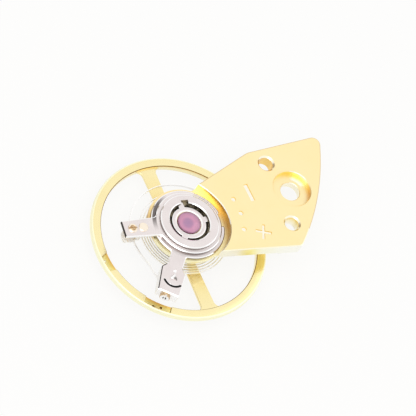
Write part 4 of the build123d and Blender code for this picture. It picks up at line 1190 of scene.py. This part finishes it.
CARRIER_RING, CARRIER_ANGLE, CARRIER_BOTTOM = 2.10, 227.5, 2.84
CARRIER_GAP, GAP_EASE = (-19.0, 3.0), 6.0   # degrees of the gap in its ring, and of the rounding beside it
NECK_END, HEAD_START, HEAD_END = 2.86, 3.18, 4.68
HEAD_HALF, NECK_HALF = 0.69, 0.43
CARRIER_FILLET, NECK_ROUND, HEAD_ROUND, END_ROUND, GAP_ROUND = 0.16, 0.22, 0.14, 0.05, 0.10
HEAD_TAPER = 0.16           # what the head loses on one side towards its end
STUD_PLACE, STUD_ASIDE, STUD_RADIUS, STUD_ROUND = 3.60, 0.12, 0.26, 0.04
STUD_SLIT, SLIT_GAP = 0.06, 0.01
SLOT_RADIUS, SLOT_WIDTH, SLOT_DEPTH, SLOT_SPAN = 0.57, 0.12, 0.24, 105.0
DIMPLE_PLACE, DIMPLE_ANGLE, DIMPLE, DIMPLE_DEPTH = 3.23, 228.7, 0.09, 0.05
SCREW_HEIGHT = 2.62
SCREW_HEAD, SCREW_HEAD_LONG, SCREW_SHANK, SCREW_SLOT, SCREW_EDGE = 0.28, 0.18, 0.12, 0.08, 0.03


def stud_centre():
    """Where the stud stands in the carrier's head."""
    return along(CARRIER_ANGLE, STUD_PLACE, STUD_ASIDE)


def stud_outline(grown_by):
    """The stud's three-sided section."""
    return rounded([(stud_centre() + polar(STUD_RADIUS + grown_by, CARRIER_ANGLE + 180 + 120 * i), STUD_ROUND)
                    for i in range(3)])


def on_screw_axis(thing):
    """Lays an upright turned shape along the stud screw's axis, out of the carrier's head."""
    turn_down = Matrix.Rotation(math.radians(90), 4, "Y")
    swing = Matrix.Rotation(math.radians(CARRIER_ANGLE), 4, "Z")
    thing.data.transform(Matrix.Translation((0, 0, SCREW_HEIGHT)) @ swing @ turn_down)
    return thing


class BALANCE_OT_stud_carrier(bpy.types.Operator):
    """Makes the stud carrier with its stud and screw"""
    bl_idname = "balance.make_stud_carrier"
    bl_label = "Stud Carrier"
    bl_options = {"REGISTER", "UNDO"}

    def execute(self, context):
        steel, centre = satin_steel(), stud_centre()
        self.carrier(context.scene.balance_details.steel_edge / MM, steel, centre)
        stud = plate(stud_outline(0.0), stud_bottom, stud_top, steel, THIN, THIN)
        slit = bar(centre, 1.0, STUD_SLIT, bearing(centre) + 90)
        merged(stud, "DIFFERENCE", plate(slit, spring_bottom - SLIT_GAP, spring_top + SLIT_GAP, steel))
        # The stud's top: a painted highlight on one side, painted shade on the other
        dressed(stud, (stud_face(centre[:]), lambda f: f.normal.z > UPRIGHT and f.z > stud_top - SLACK))
        piece(stud, "stud_post", "stud_carrier", "polished_steel", "hairspring_stud")
        self.screw(steel)
        return {"FINISHED"}

    def outline(self):
        """The carrier seen from above: its arm, and its ring with the gap."""
        side = [(NECK_END, NECK_HALF, NECK_ROUND), (HEAD_START, HEAD_HALF, HEAD_ROUND),
                (HEAD_END, HEAD_HALF, END_ROUND)]
        tapered = [(NECK_END, -NECK_HALF, NECK_ROUND), (HEAD_START, -HEAD_HALF, HEAD_ROUND),
                   (HEAD_END, HEAD_TAPER - HEAD_HALF, END_ROUND)]
        arm, (start, end) = arm_on_ring(CARRIER_RING, CARRIER_ANGLE, NECK_HALF, CARRIER_FILLET,
                                        tapered + side[::-1])
        gap_start, gap_end = CARRIER_GAP[0] + 360, CARRIER_GAP[1] + 360
        ring_on = arc(CARRIER_RING, start if start > 180 else start + 360, gap_start - GAP_EASE)
        ring_back = arc(CARRIER_RING, gap_end + GAP_EASE - 360, end % 360)
        corners = [(ring_on[-1], 0), (polar(CARRIER_RING, gap_start), GAP_ROUND),
                   *((point, 0) for point in arc(RING_BORE, gap_start, gap_end - 360)),
                   (polar(CARRIER_RING, gap_end), GAP_ROUND), (ring_back[0], 0)]
        return arm + ring_on[1:-1] + rounded(corners) + ring_back[1:-1]

    def slot(self, centre):
        """The curved slot beside the stud, seen from above."""
        start, end, half = CARRIER_ANGLE - SLOT_SPAN / 2, CARRIER_ANGLE + SLOT_SPAN / 2, SLOT_WIDTH / 2
        return (arc(SLOT_RADIUS + half, start, end, centre)
                + arc(half, end, end + 180, centre + polar(SLOT_RADIUS, end))[1:-1]
                + arc(SLOT_RADIUS - half, end, start, centre)
                + arc(half, start + 180, start + 360, centre + polar(SLOT_RADIUS, start))[1:-1])

    def carrier(self, edge, steel, centre):
        """The carrier: a split ring with an arm and a thick head."""
        carrier = plate(self.outline(), CARRIER_BOTTOM, carrier_top, steel, edge, FINE)
        block = [(HEAD_START + 0.05, -HEAD_HALF), (HEAD_END, HEAD_TAPER - HEAD_HALF), (HEAD_END, HEAD_HALF),
                 (HEAD_START + 0.05, HEAD_HALF)]
        head = rounded([(along(CARRIER_ANGLE, *place), END_ROUND) for place in block])
        merged(carrier, "UNION", plate(head, head_bottom, carrier_top - 0.05, steel, 0.0, 0.03))
        above, radius, far = carrier_top + OVERRUN, SCREW_SHANK + PRESSED, HEAD_END + OVERRUN
        shank = turned([(0, STUD_PLACE), (radius, STUD_PLACE), (radius, far), (0, far)], steel, count=32)
        merged(carrier, "DIFFERENCE",
               flared(self.slot(centre), carrier_top - SLOT_DEPTH, carrier_top, 0.012, steel),
               flared(stud_outline(PRESSED), head_bottom - OVERRUN, carrier_top, EASE, steel),
               on_screw_axis(shank),
               turned([(0, carrier_top - DIMPLE_DEPTH), (DIMPLE, carrier_top), (DIMPLE, above), (0, above)],
                      steel, polar(DIMPLE_PLACE, DIMPLE_ANGLE), 24))
        aside = polar(1, CARRIER_ANGLE + 90)
        dressed(
            carrier,
            *steel_edges(CARRIER_RING),
            # Black as painted shade and reflection: the bevel on the head's tapered side, and the slot's walls
            (black_steel(), lambda f: f.bevel and f.reach > HEAD_START - 0.1 and f.looks(-aside, 0.7)
             and f.middle.xy.dot(aside) < HEAD_TAPER - HEAD_HALF + 0.06),
            (black_steel(), lambda f: abs(f.off(centre) - SLOT_RADIUS) < SLOT_WIDTH / 2 + NEAR
             and carrier_top - SLOT_DEPTH - NEAR < f.z < carrier_top - SLACK),
        )
        piece(carrier, "stud_carrier_plate", "stud_carrier", "polished_steel", "stud_carrier")

    def screw(self, steel):
        """The screw that presses on the stud, made upright and then laid down."""
        start, end = STUD_PLACE + (STUD_RADIUS + PRESSED) / 2, HEAD_END + SCREW_HEAD_LONG
        screw = turned([(0, start), (SCREW_SHANK, start), (SCREW_SHANK, HEAD_END), (SCREW_HEAD, HEAD_END),
                        (SCREW_HEAD, end - SCREW_EDGE), (SCREW_HEAD - SCREW_EDGE, end), (0.11, end),
                        (0.08, end - SCREW_EDGE), (0, end - SCREW_EDGE)], steel, count=48)
        merged(screw, "DIFFERENCE",
               plate(bar((0, 0), 0.8, SCREW_SLOT, 0), end - SCREW_SLOT, end + OVERRUN, steel))
        dressed(
            screw,
            (aged_brass(), lambda f: f.reach > SCREW_HEAD - SCREW_EDGE - NEAR and f.z > HEAD_END - NEAR),
            # Face and head pale as painted light; the slot's middle black as painted shade
            (pale_steel(), lambda f: f.up and f.z > end - NEAR),
            (pale_steel(), lambda f: f.z > HEAD_END + SLACK and f.reach < SCREW_HEAD - 0.05),
            (black_steel(), lambda f: f.reach < 0.1 and f.z > end - 0.05 and abs(f.normal.z) > UPRIGHT),
        )
        piece(on_screw_axis(screw), "stud_screw_body", "stud_carrier", "polished_steel", "stud_screw")


class BALANCE_OT_hairspring(bpy.types.Operator):
    """Winds the hairspring from the collet to the stud"""
    bl_idname = "balance.make_hairspring"
    bl_label = "Hairspring"
    bl_options = {"REGISTER", "UNDO"}

    def execute(self, context):
        sizes, stud = context.scene.balance_spring, stud_centre()
        first, last = PACK_END - 180.0 * sizes.half_turns, bearing(stud) % 360
        line = bpy.data.curves.new("path", "CURVE")
        line.dimensions = "3D"
        spline = line.splines.new("POLY")
        spline.points.add(math.ceil((last - first) / SPRING_POINT_STEP))
        for i, point in enumerate(spline.points):
            point.co = (i, 0, 0, 1)
        path = placed("path", line)
        angles = [math.radians(a) for a in (first, PACK_END, OUTER_START, OUTER_END, last, SPRING_TAIL)]
        numbers = (sizes.strip / MM, spring_top - spring_bottom, (spring_bottom + spring_top) / 2,
                   sizes.inner / MM, sizes.pack / MM, sizes.outer / MM, stud.length, *angles)
        values = dict(zip(SPRING_NUMBERS, numbers), Material=drawn_spring())
        strip = placed("strip", grown(path, hairspring_group(), values))
        bpy.data.objects.remove(path)
        piece(strip, "hairspring_strip", None, "spring_steel", "hairspring")
        hold = polar(sizes.outer * SPRING_HOLD, (INDEX_ANGLE + bearing(stud) % 360) / 2)
        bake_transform(strip)
        return {"FINISHED"}


ARM_BOTTOM, ARM_TOP = rim_bottom + 0.10, rim_bottom + 0.25
HUB, HUB_BORE, ARM_FILLET = 0.85, 0.365, 0.32
RIM_ROUND, WEB_IN_RIM = 0.3, 0.1            # where the rim's bevel bends, and how far the web ends short of it
POCKET_DEPTH, POCKET_EDGE, POCKET_INNER, POCKET_LEAN = 0.10, 0.11, 0.12, 0.3
POCKETS = ((175.5, 190.0, 2.5, 1.0), (217.4, 237.0, 0.8, 0.6))     # start, end and how far each end leans
DRILL_MARKS = ((4.80, 224.7), (4.70, 229.7), (4.80, 181.1))         # radius and direction; the last is near white as a painted glint
DRILL = ((0, 0.10), (0.07, 0.07), (0.09, -OVERRUN), (0, -OVERRUN))  # radius and depth under a pocket's floor


class BALANCE_OT_wheel(bpy.types.Operator):
    """Makes the balance wheel: rim, arms and hub, with its poising pockets"""
    bl_idname = "balance.make_wheel"
    bl_label = "Balance Wheel"
    bl_options = {"REGISTER", "UNDO"}

    def execute(self, context):
        sizes, gilt = context.scene.balance_wheel, turned_gilt()
        outer, bevel = sizes.radius / MM, sizes.rim_bevel / MM
        inner, fine = outer - sizes.rim_width / MM, bevel / 3
        wheel = turned([(inner + fine, rim_bottom), (outer - bevel, rim_bottom), (outer, rim_bottom + bevel),
                        (outer, rim_top - bevel), (outer - bevel * RIM_ROUND, rim_top - bevel * RIM_ROUND),
                        (outer - bevel, rim_top), (inner + fine, rim_top),
                        (inner, rim_top - fine), (inner, rim_bottom + fine)], gilt, count=180)
        merged(wheel, "UNION", self.web(sizes, (inner + outer) / 2, inner, gilt))
        floor = rim_top - POCKET_DEPTH
        cutters = [plate(arc(outer - POCKET_EDGE, start + lean_in, end - lean_out)
                         + arc(inner - POCKET_INNER, end + lean_out * POCKET_LEAN,
                               start - lean_in * POCKET_LEAN), floor, rim_top + OVERRUN, gilt)
                   for start, end, lean_in, lean_out in POCKETS]
        spot = turned([(radius, floor - depth) for radius, depth in DRILL], gilt, count=24)
        drilled = [polar(*mark) for mark in DRILL_MARKS]
        merged(wheel, "DIFFERENCE", *cutters, copies(spot, [(place, 0.0) for place in drilled], gilt))

        def drill(f, places):
            return floor - 0.12 < f.z < floor - 0.01 and any(f.off(place) < 0.1 for place in places)

        pocket = outer - POCKET_EDGE + SLACK
        dressed(
            wheel,
            # The rim's inner wall with painted reflection and shade
            (rim_wall(), lambda f: f.sloped and f.inwards and inner - 0.01 < f.reach < inner + fine),
            # The rim's outer side and bevel paler as painted light
            (pale_gilt(), lambda f: f.reach > outer - bevel and f.normal.z > -0.2 and f.z < rim_top - 0.005),
            (gilt_cut(), lambda f: inner < f.reach < pocket and floor - 0.01 < f.z < rim_top - 0.01 and f.up),
            # The pockets' walls dark as painted shade
            (burnt_cut(), lambda f: inner + 0.01 < f.reach < pocket and floor - 0.12 < f.z < rim_top - 0.01
             and f.normal.z < FLAT),
            # Drill holes: the first two dark as painted shade, the last near white as a painted glint
            (burnt_cut(), lambda f: drill(f, drilled[:2])),
            (bright_cut(), lambda f: drill(f, drilled[2:])),
        )
        piece(wheel, "balance_rim_and_arms", "balance", "gilt_wheel", "balance_wheel")
        return {"FINISHED"}

    def web(self, sizes, middle, inner, gilt):
        """The arms and hub, cut from a plate by one opening between each two arms."""
        root, tip, edge = sizes.arm_root / MM / 2, sizes.arm_tip / MM / 2, sizes.arm_edge / MM
        spread = 360 / sizes.arm_count
        line = [Vector((0, root)), Vector((middle, tip))]
        half = [meet_circle(*line, HUB)] + side_fillet(*line, Vector((0, 1)), ARM_FILLET, inner,
                                                       inner - ARM_FILLET)
        normal = polar(1, spread / 2)
        mirror = [normal * (2 * p.dot(normal)) - p for p in half[::-1]]
        inside_rim = arc(middle - WEB_IN_RIM, bearing(half[-1]), bearing(mirror[0]))
        opening = half + inside_rim + mirror + arc(HUB, bearing(mirror[-1]), bearing(half[0]))[1:-1]
        wide = inset(opening, -edge)
        cutter = stack([(wide, ARM_BOTTOM - OVERRUN), (wide, ARM_BOTTOM), (opening, ARM_BOTTOM + edge),
                        (opening, ARM_TOP - edge), (wide, ARM_TOP), (wide, ARM_TOP + OVERRUN)], gilt)
        base = math.degrees(sizes.arm_angle)
        openings = copies(cutter, [((0, 0), base + spread * i) for i in range(sizes.arm_count)], gilt)
        return merged(plate(arc(middle, 0, 360)[:-1], ARM_BOTTOM, ARM_TOP, gilt), "DIFFERENCE", openings,
                      bored(HUB_BORE, ARM_BOTTOM, ARM_TOP, gilt, mouth=EASE))


PIVOT, ROLLER_SEAT, COLLET_SEAT, WHEEL_SEAT, STAFF_FLANGE = 0.05, 0.20, 0.30, 0.36, 0.60
FLANGE_HEIGHT, SEAT_OVER_ARMS, NECK_OVER_COLLET = 0.13, 0.06, 0.075
COLLET_BORE, COLLET, COLLET_SLIT = 0.305, 0.55, 0.06
ROLLER_BORE, IMPULSE_ROLLER, SAFETY_ROLLER, NOTCH = 0.205, 0.98, 0.36, 0.165
WINDOW_INNER, WINDOW_OUTER, WINDOW_HALF, WINDOW_TURN = 0.55, 0.81, 42, 95.0
IMPULSE_ANGLE, IMPULSE_PLACE, IMPULSE_PIN, IMPULSE_FLAT, PIN_STEPS = -94.0, 0.74, 0.12, 0.06, 30


class BALANCE_OT_staff(bpy.types.Operator):
    """Makes the staff, the collet, both rollers and the impulse jewel"""
    bl_idname = "balance.make_staff"
    bl_label = "Staff and Rollers"
    bl_options = {"REGISTER", "UNDO"}

    def execute(self, context):
        steel, brass = satin_steel(), post_brass()
        self.staff(burnished_staff(), ARM_BOTTOM - FLANGE_HEIGHT, ARM_TOP + SEAT_OVER_ARMS,
                   collet_top + NECK_OVER_COLLET)
        collet = turned(disc(COLLET_BORE, COLLET, collet_bottom, collet_top, EASE, EASE,
                             (COLLET_BORE + EASE, collet_top), (COLLET_BORE, collet_top - EASE)), brass)
        slit = plate(bar(polar(0.5, PACK_END + 180), 0.6, COLLET_SLIT, PACK_END + 180),
                     collet_bottom - OVERRUN, collet_top + OVERRUN, brass)
        piece(merged(collet, "DIFFERENCE", slit), "collet_ring", "balance", "brass_post", "hairspring_collet")
        self.impulse(steel, ruby_stone())
        small = turned(disc(ROLLER_BORE, SAFETY_ROLLER, safety_bottom, safety_top, THIN, THIN), steel,
                       count=64)
        notch = bored(NOTCH, safety_bottom, safety_top, steel, polar(SAFETY_ROLLER, IMPULSE_ANGLE), count=40)
        piece(merged(small, "DIFFERENCE", notch), "safety_roller_disc", "balance", "polished_steel",
              "safety_roller")
        return {"FINISHED"}

    def staff(self, shaft, flange, seat, neck):
        """The staff, whose flange, wheel seat and collet seat end at these heights."""
        staff = turned([
            (0, 0), (PIVOT - THIN, 0), (PIVOT, THIN), (PIVOT, 0.22), (0.09, 0.26), (0.19, 0.35),
            (ROLLER_SEAT, 0.36), (ROLLER_SEAT, flange), (STAFF_FLANGE - THIN, flange),
            (STAFF_FLANGE, flange + THIN), (STAFF_FLANGE, ARM_BOTTOM), (WHEEL_SEAT, ARM_BOTTOM),
            (WHEEL_SEAT, seat - THIN), (WHEEL_SEAT - THIN, seat), (COLLET_SEAT, seat),
            (COLLET_SEAT, neck - EASE), (COLLET_SEAT - EASE, neck), (ROLLER_SEAT, neck),
            (ROLLER_SEAT, neck + 0.29), (0.19, neck + 0.31), (0.09, neck + 0.46), (PIVOT, neck + 0.50),
            (PIVOT, staff_top - THIN), (PIVOT - THIN, staff_top), (0, staff_top)], shaft, count=64)
        piece(staff, "balance_staff_turned", "balance", "staff_steel", "balance_staff")

    def impulse(self, steel, stone):
        """The larger roller with its two windows, and its jewel."""
        middle, half = polar(IMPULSE_PLACE, IMPULSE_ANGLE), math.degrees(math.acos(IMPULSE_FLAT / IMPULSE_PIN))
        pin = [middle + polar(IMPULSE_PIN, IMPULSE_ANGLE + half + (360 - 2 * half) * i / PIN_STEPS)
               for i in range(PIN_STEPS + 1)]
        cut = [inset(pin, -PRESSED)]
        for facing in (IMPULSE_ANGLE + WINDOW_TURN, IMPULSE_ANGLE - WINDOW_TURN):
            cut.append(arc(WINDOW_OUTER, facing - WINDOW_HALF, facing + WINDOW_HALF)
                       + arc(WINDOW_INNER, facing + WINDOW_HALF, facing - WINDOW_HALF))
        roller = turned(disc(ROLLER_BORE, IMPULSE_ROLLER, impulse_bottom, impulse_top, THIN, EASE), steel)
        merged(roller, "DIFFERENCE", *(plate(outline, impulse_bottom - OVERRUN, impulse_top + OVERRUN, steel)
                                       for outline in cut))
        piece(roller, "impulse_roller_disc", "balance", "polished_steel", "impulse_roller")
        piece(plate(pin, pin_bottom, pin_top, stone, 0.0, FINE), "impulse_jewel_pin", "balance", "ruby",
              "impulse_jewel")


VIEW_AZIMUTH, VIEW_ELEVATION, VIEW_ROLL = -56.1, 52.73, 33.9
VIEW_TARGET = (1.396, 0.463, 3.29)
VIEW_FIELD, VIEW_LENS, SENSOR = 22.37, 600.0, 36.0      # millimetres across the picture; lens and sensor
FLOOR_HALF, FLOOR_DROP = 1.2, 0.00002
CARD_ANGLE, CARD_DISTANCE, CARD_WIDTH, CARD_HEIGHT = 118.0, 0.30, 0.34, 0.16
LAMPS = (("key", -56.0, 60.0, 0.35, 0.30, 0.44),        # azimuth, elevation, distance, size, power
         ("fill", 75.0, 40.0, 0.30, 0.25, 0.05))


def seen_share(nodes):
    """One for rays from the camera and for those that a polished or clear face sends on."""
    ray = nodes.node("ShaderNodeLightPath").outputs
    camera, glossy, through = (
        Value(nodes, ray[name]) for name in ("Is Camera Ray", "Is Glossy Ray", "Is Transmission Ray"))
    return camera + glossy + through


def sheet(name, half):
    """A flat square object with an empty material, and the nodes of that material."""
    bm = bmesh.new()
    bmesh.ops.create_grid(bm, x_segments=1, y_segments=1, size=half)
    material = bpy.data.materials.new(name)
    material.use_nodes = True
    return meshed(name, bm, material), Nodes(material.node_tree)


def direction(azimuth, elevation):
    """The way from the object towards a lamp or the camera."""
    a, e = math.radians(azimuth), math.radians(elevation)
    return Vector((math.sin(a) * math.cos(e), -math.cos(a) * math.cos(e), math.sin(e)))


class BALANCE_OT_stage(bpy.types.Operator):
    """Makes the floor, the soft light and the camera"""
    bl_idname = "balance.make_stage"
    bl_label = "Stage"
    bl_options = {"REGISTER", "UNDO"}

    def execute(self, context):
        scene = context.scene
        self.floor(scene.balance_finishes.floor)
        self.world(scene)
        self.lamps()
        self.card()
        self.camera(scene)
        scene.view_settings.view_transform = "Standard"
        return {"FINISHED"}

    def floor(self, shade):
        """The pale table, which glows a little so that it stays white round the object."""
        floor, f = sheet("floor", FLOOR_HALF)
        floor.location.z = -FLOOR_DROP
        plain = f.node("ShaderNodeBsdfDiffuse", None, {"Color": (*shade, 1.0)})
        glow = f.node("ShaderNodeEmission", None, {"Color": (1.0, 0.998, 0.99, 1.0), "Strength": 1.0})
        both = f.node("ShaderNodeMixShader", None,
                      {0: seen_share(f) * 0.86, 1: plain.outputs[0], 2: glow.outputs[0]})
        f.node("ShaderNodeOutputMaterial", None, {"Surface": both.outputs[0]})

    def world(self, scene):
        """An even white room, dimmer as light than as background."""
        world = bpy.data.worlds.new("studio")
        world.use_nodes = True
        scene.world = world
        w = Nodes(world.node_tree)
        sky = w.node("ShaderNodeBackground", None,
                     {"Color": (1.0, 1.0, 1.0, 1.0), "Strength": 0.62 + seen_share(w) * 0.38})
        w.node("ShaderNodeOutputWorld", None, {"Surface": sky.outputs[0]})

    def lamps(self):
        """A broad key lamp and a weak fill lamp."""
        for name, azimuth, elevation, distance, size, power in LAMPS:
            lamp = bpy.data.lights.new(name, "AREA")
            lamp.shape, lamp.size, lamp.energy = "DISK", size, power
            thing = placed(name, lamp)
            way = direction(azimuth, elevation)
            thing.location = way * distance
            thing.rotation_euler = way.to_track_quat("Z", "Y").to_euler()
            thing.visible_camera = False

    def card(self):
        """A dark card beside the table, which draws the polished edges on one side."""
        card, f = sheet("card", 0.5)
        card.data.transform(
            Matrix.Translation((*polar(CARD_DISTANCE, CARD_ANGLE), CARD_HEIGHT / 2))
            @ Matrix.Rotation(math.radians(CARD_ANGLE - 90), 4, "Z")
            @ Matrix.Rotation(math.radians(90), 4, "X") @ Matrix.Diagonal((CARD_WIDTH, CARD_HEIGHT, 1, 1)))
        shaded_plain = f.node("ShaderNodeBsdfDiffuse", None, {"Color": (0.40, 0.27, 0.14, 1.0)})
        f.node("ShaderNodeOutputMaterial", None, {"Surface": shaded_plain.outputs[0]})
        card.visible_camera = card.visible_diffuse = card.visible_shadow = False

    def camera(self, scene):
        """A long lens, seen from the side and above, rolled as the photograph is."""
        data = bpy.data.cameras.new("camera")
        data.lens, data.sensor_width = VIEW_LENS, SENSOR
        data.clip_start, data.clip_end = 0.01, 10.0
        camera = placed("camera", data)
        back = direction(VIEW_AZIMUTH, VIEW_ELEVATION)
        rolled = back.to_track_quat("Z", "Y").to_matrix() @ Matrix.Rotation(math.radians(VIEW_ROLL), 3, "Z")
        distance = VIEW_FIELD * MM * VIEW_LENS / SENSOR
        camera.matrix_world = Matrix.Translation(Vector(VIEW_TARGET) * MM + back * distance) @ rolled.to_4x4()
        scene.camera = camera


class BALANCE_PT_makers(bpy.types.Panel):
    """Lists what can be made, and its sizes"""
    bl_label = "Watch Balance"
    bl_idname = "BALANCE_PT_makers"
    bl_space_type = "VIEW_3D"
    bl_region_type = "UI"
    bl_category = "Balance"

    def draw(self, context):
        for name in GROUPS:
            box = self.layout.box()
            group = getattr(context.scene, name)
            for prop in group.__annotations__:
                box.prop(group, prop)
        for maker in MAKERS:
            self.layout.operator(maker.bl_idname)


GROUPS = {
    "balance_wheel": BalanceWheelSizes,
    "balance_spring": BalanceSpringSizes,
    "balance_details": BalanceDetailSizes,
    "balance_finishes": BalanceFinishes,
}
MAKERS = (BALANCE_OT_cock, BALANCE_OT_shock_setting, BALANCE_OT_regulator, BALANCE_OT_stud_carrier,
          BALANCE_OT_hairspring, BALANCE_OT_wheel, BALANCE_OT_staff, BALANCE_OT_stage)


def register():
    for group in GROUPS.values():
        bpy.utils.register_class(group)
    for name, group in GROUPS.items():
        setattr(bpy.types.Scene, name, bpy.props.PointerProperty(type=group))
    for maker in (*MAKERS, BALANCE_PT_makers):
        bpy.utils.register_class(maker)


def unregister():
    for maker in reversed((*MAKERS, BALANCE_PT_makers)):
        bpy.utils.unregister_class(maker)
    for name, group in reversed(GROUPS.items()):
        delattr(bpy.types.Scene, name)
        bpy.utils.unregister_class(group)


def main():
    register()
    for maker in MAKERS:
        group, name = maker.bl_idname.split(".")
        getattr(getattr(bpy.ops, group), name)()


if __name__ == "__main__":
    main()
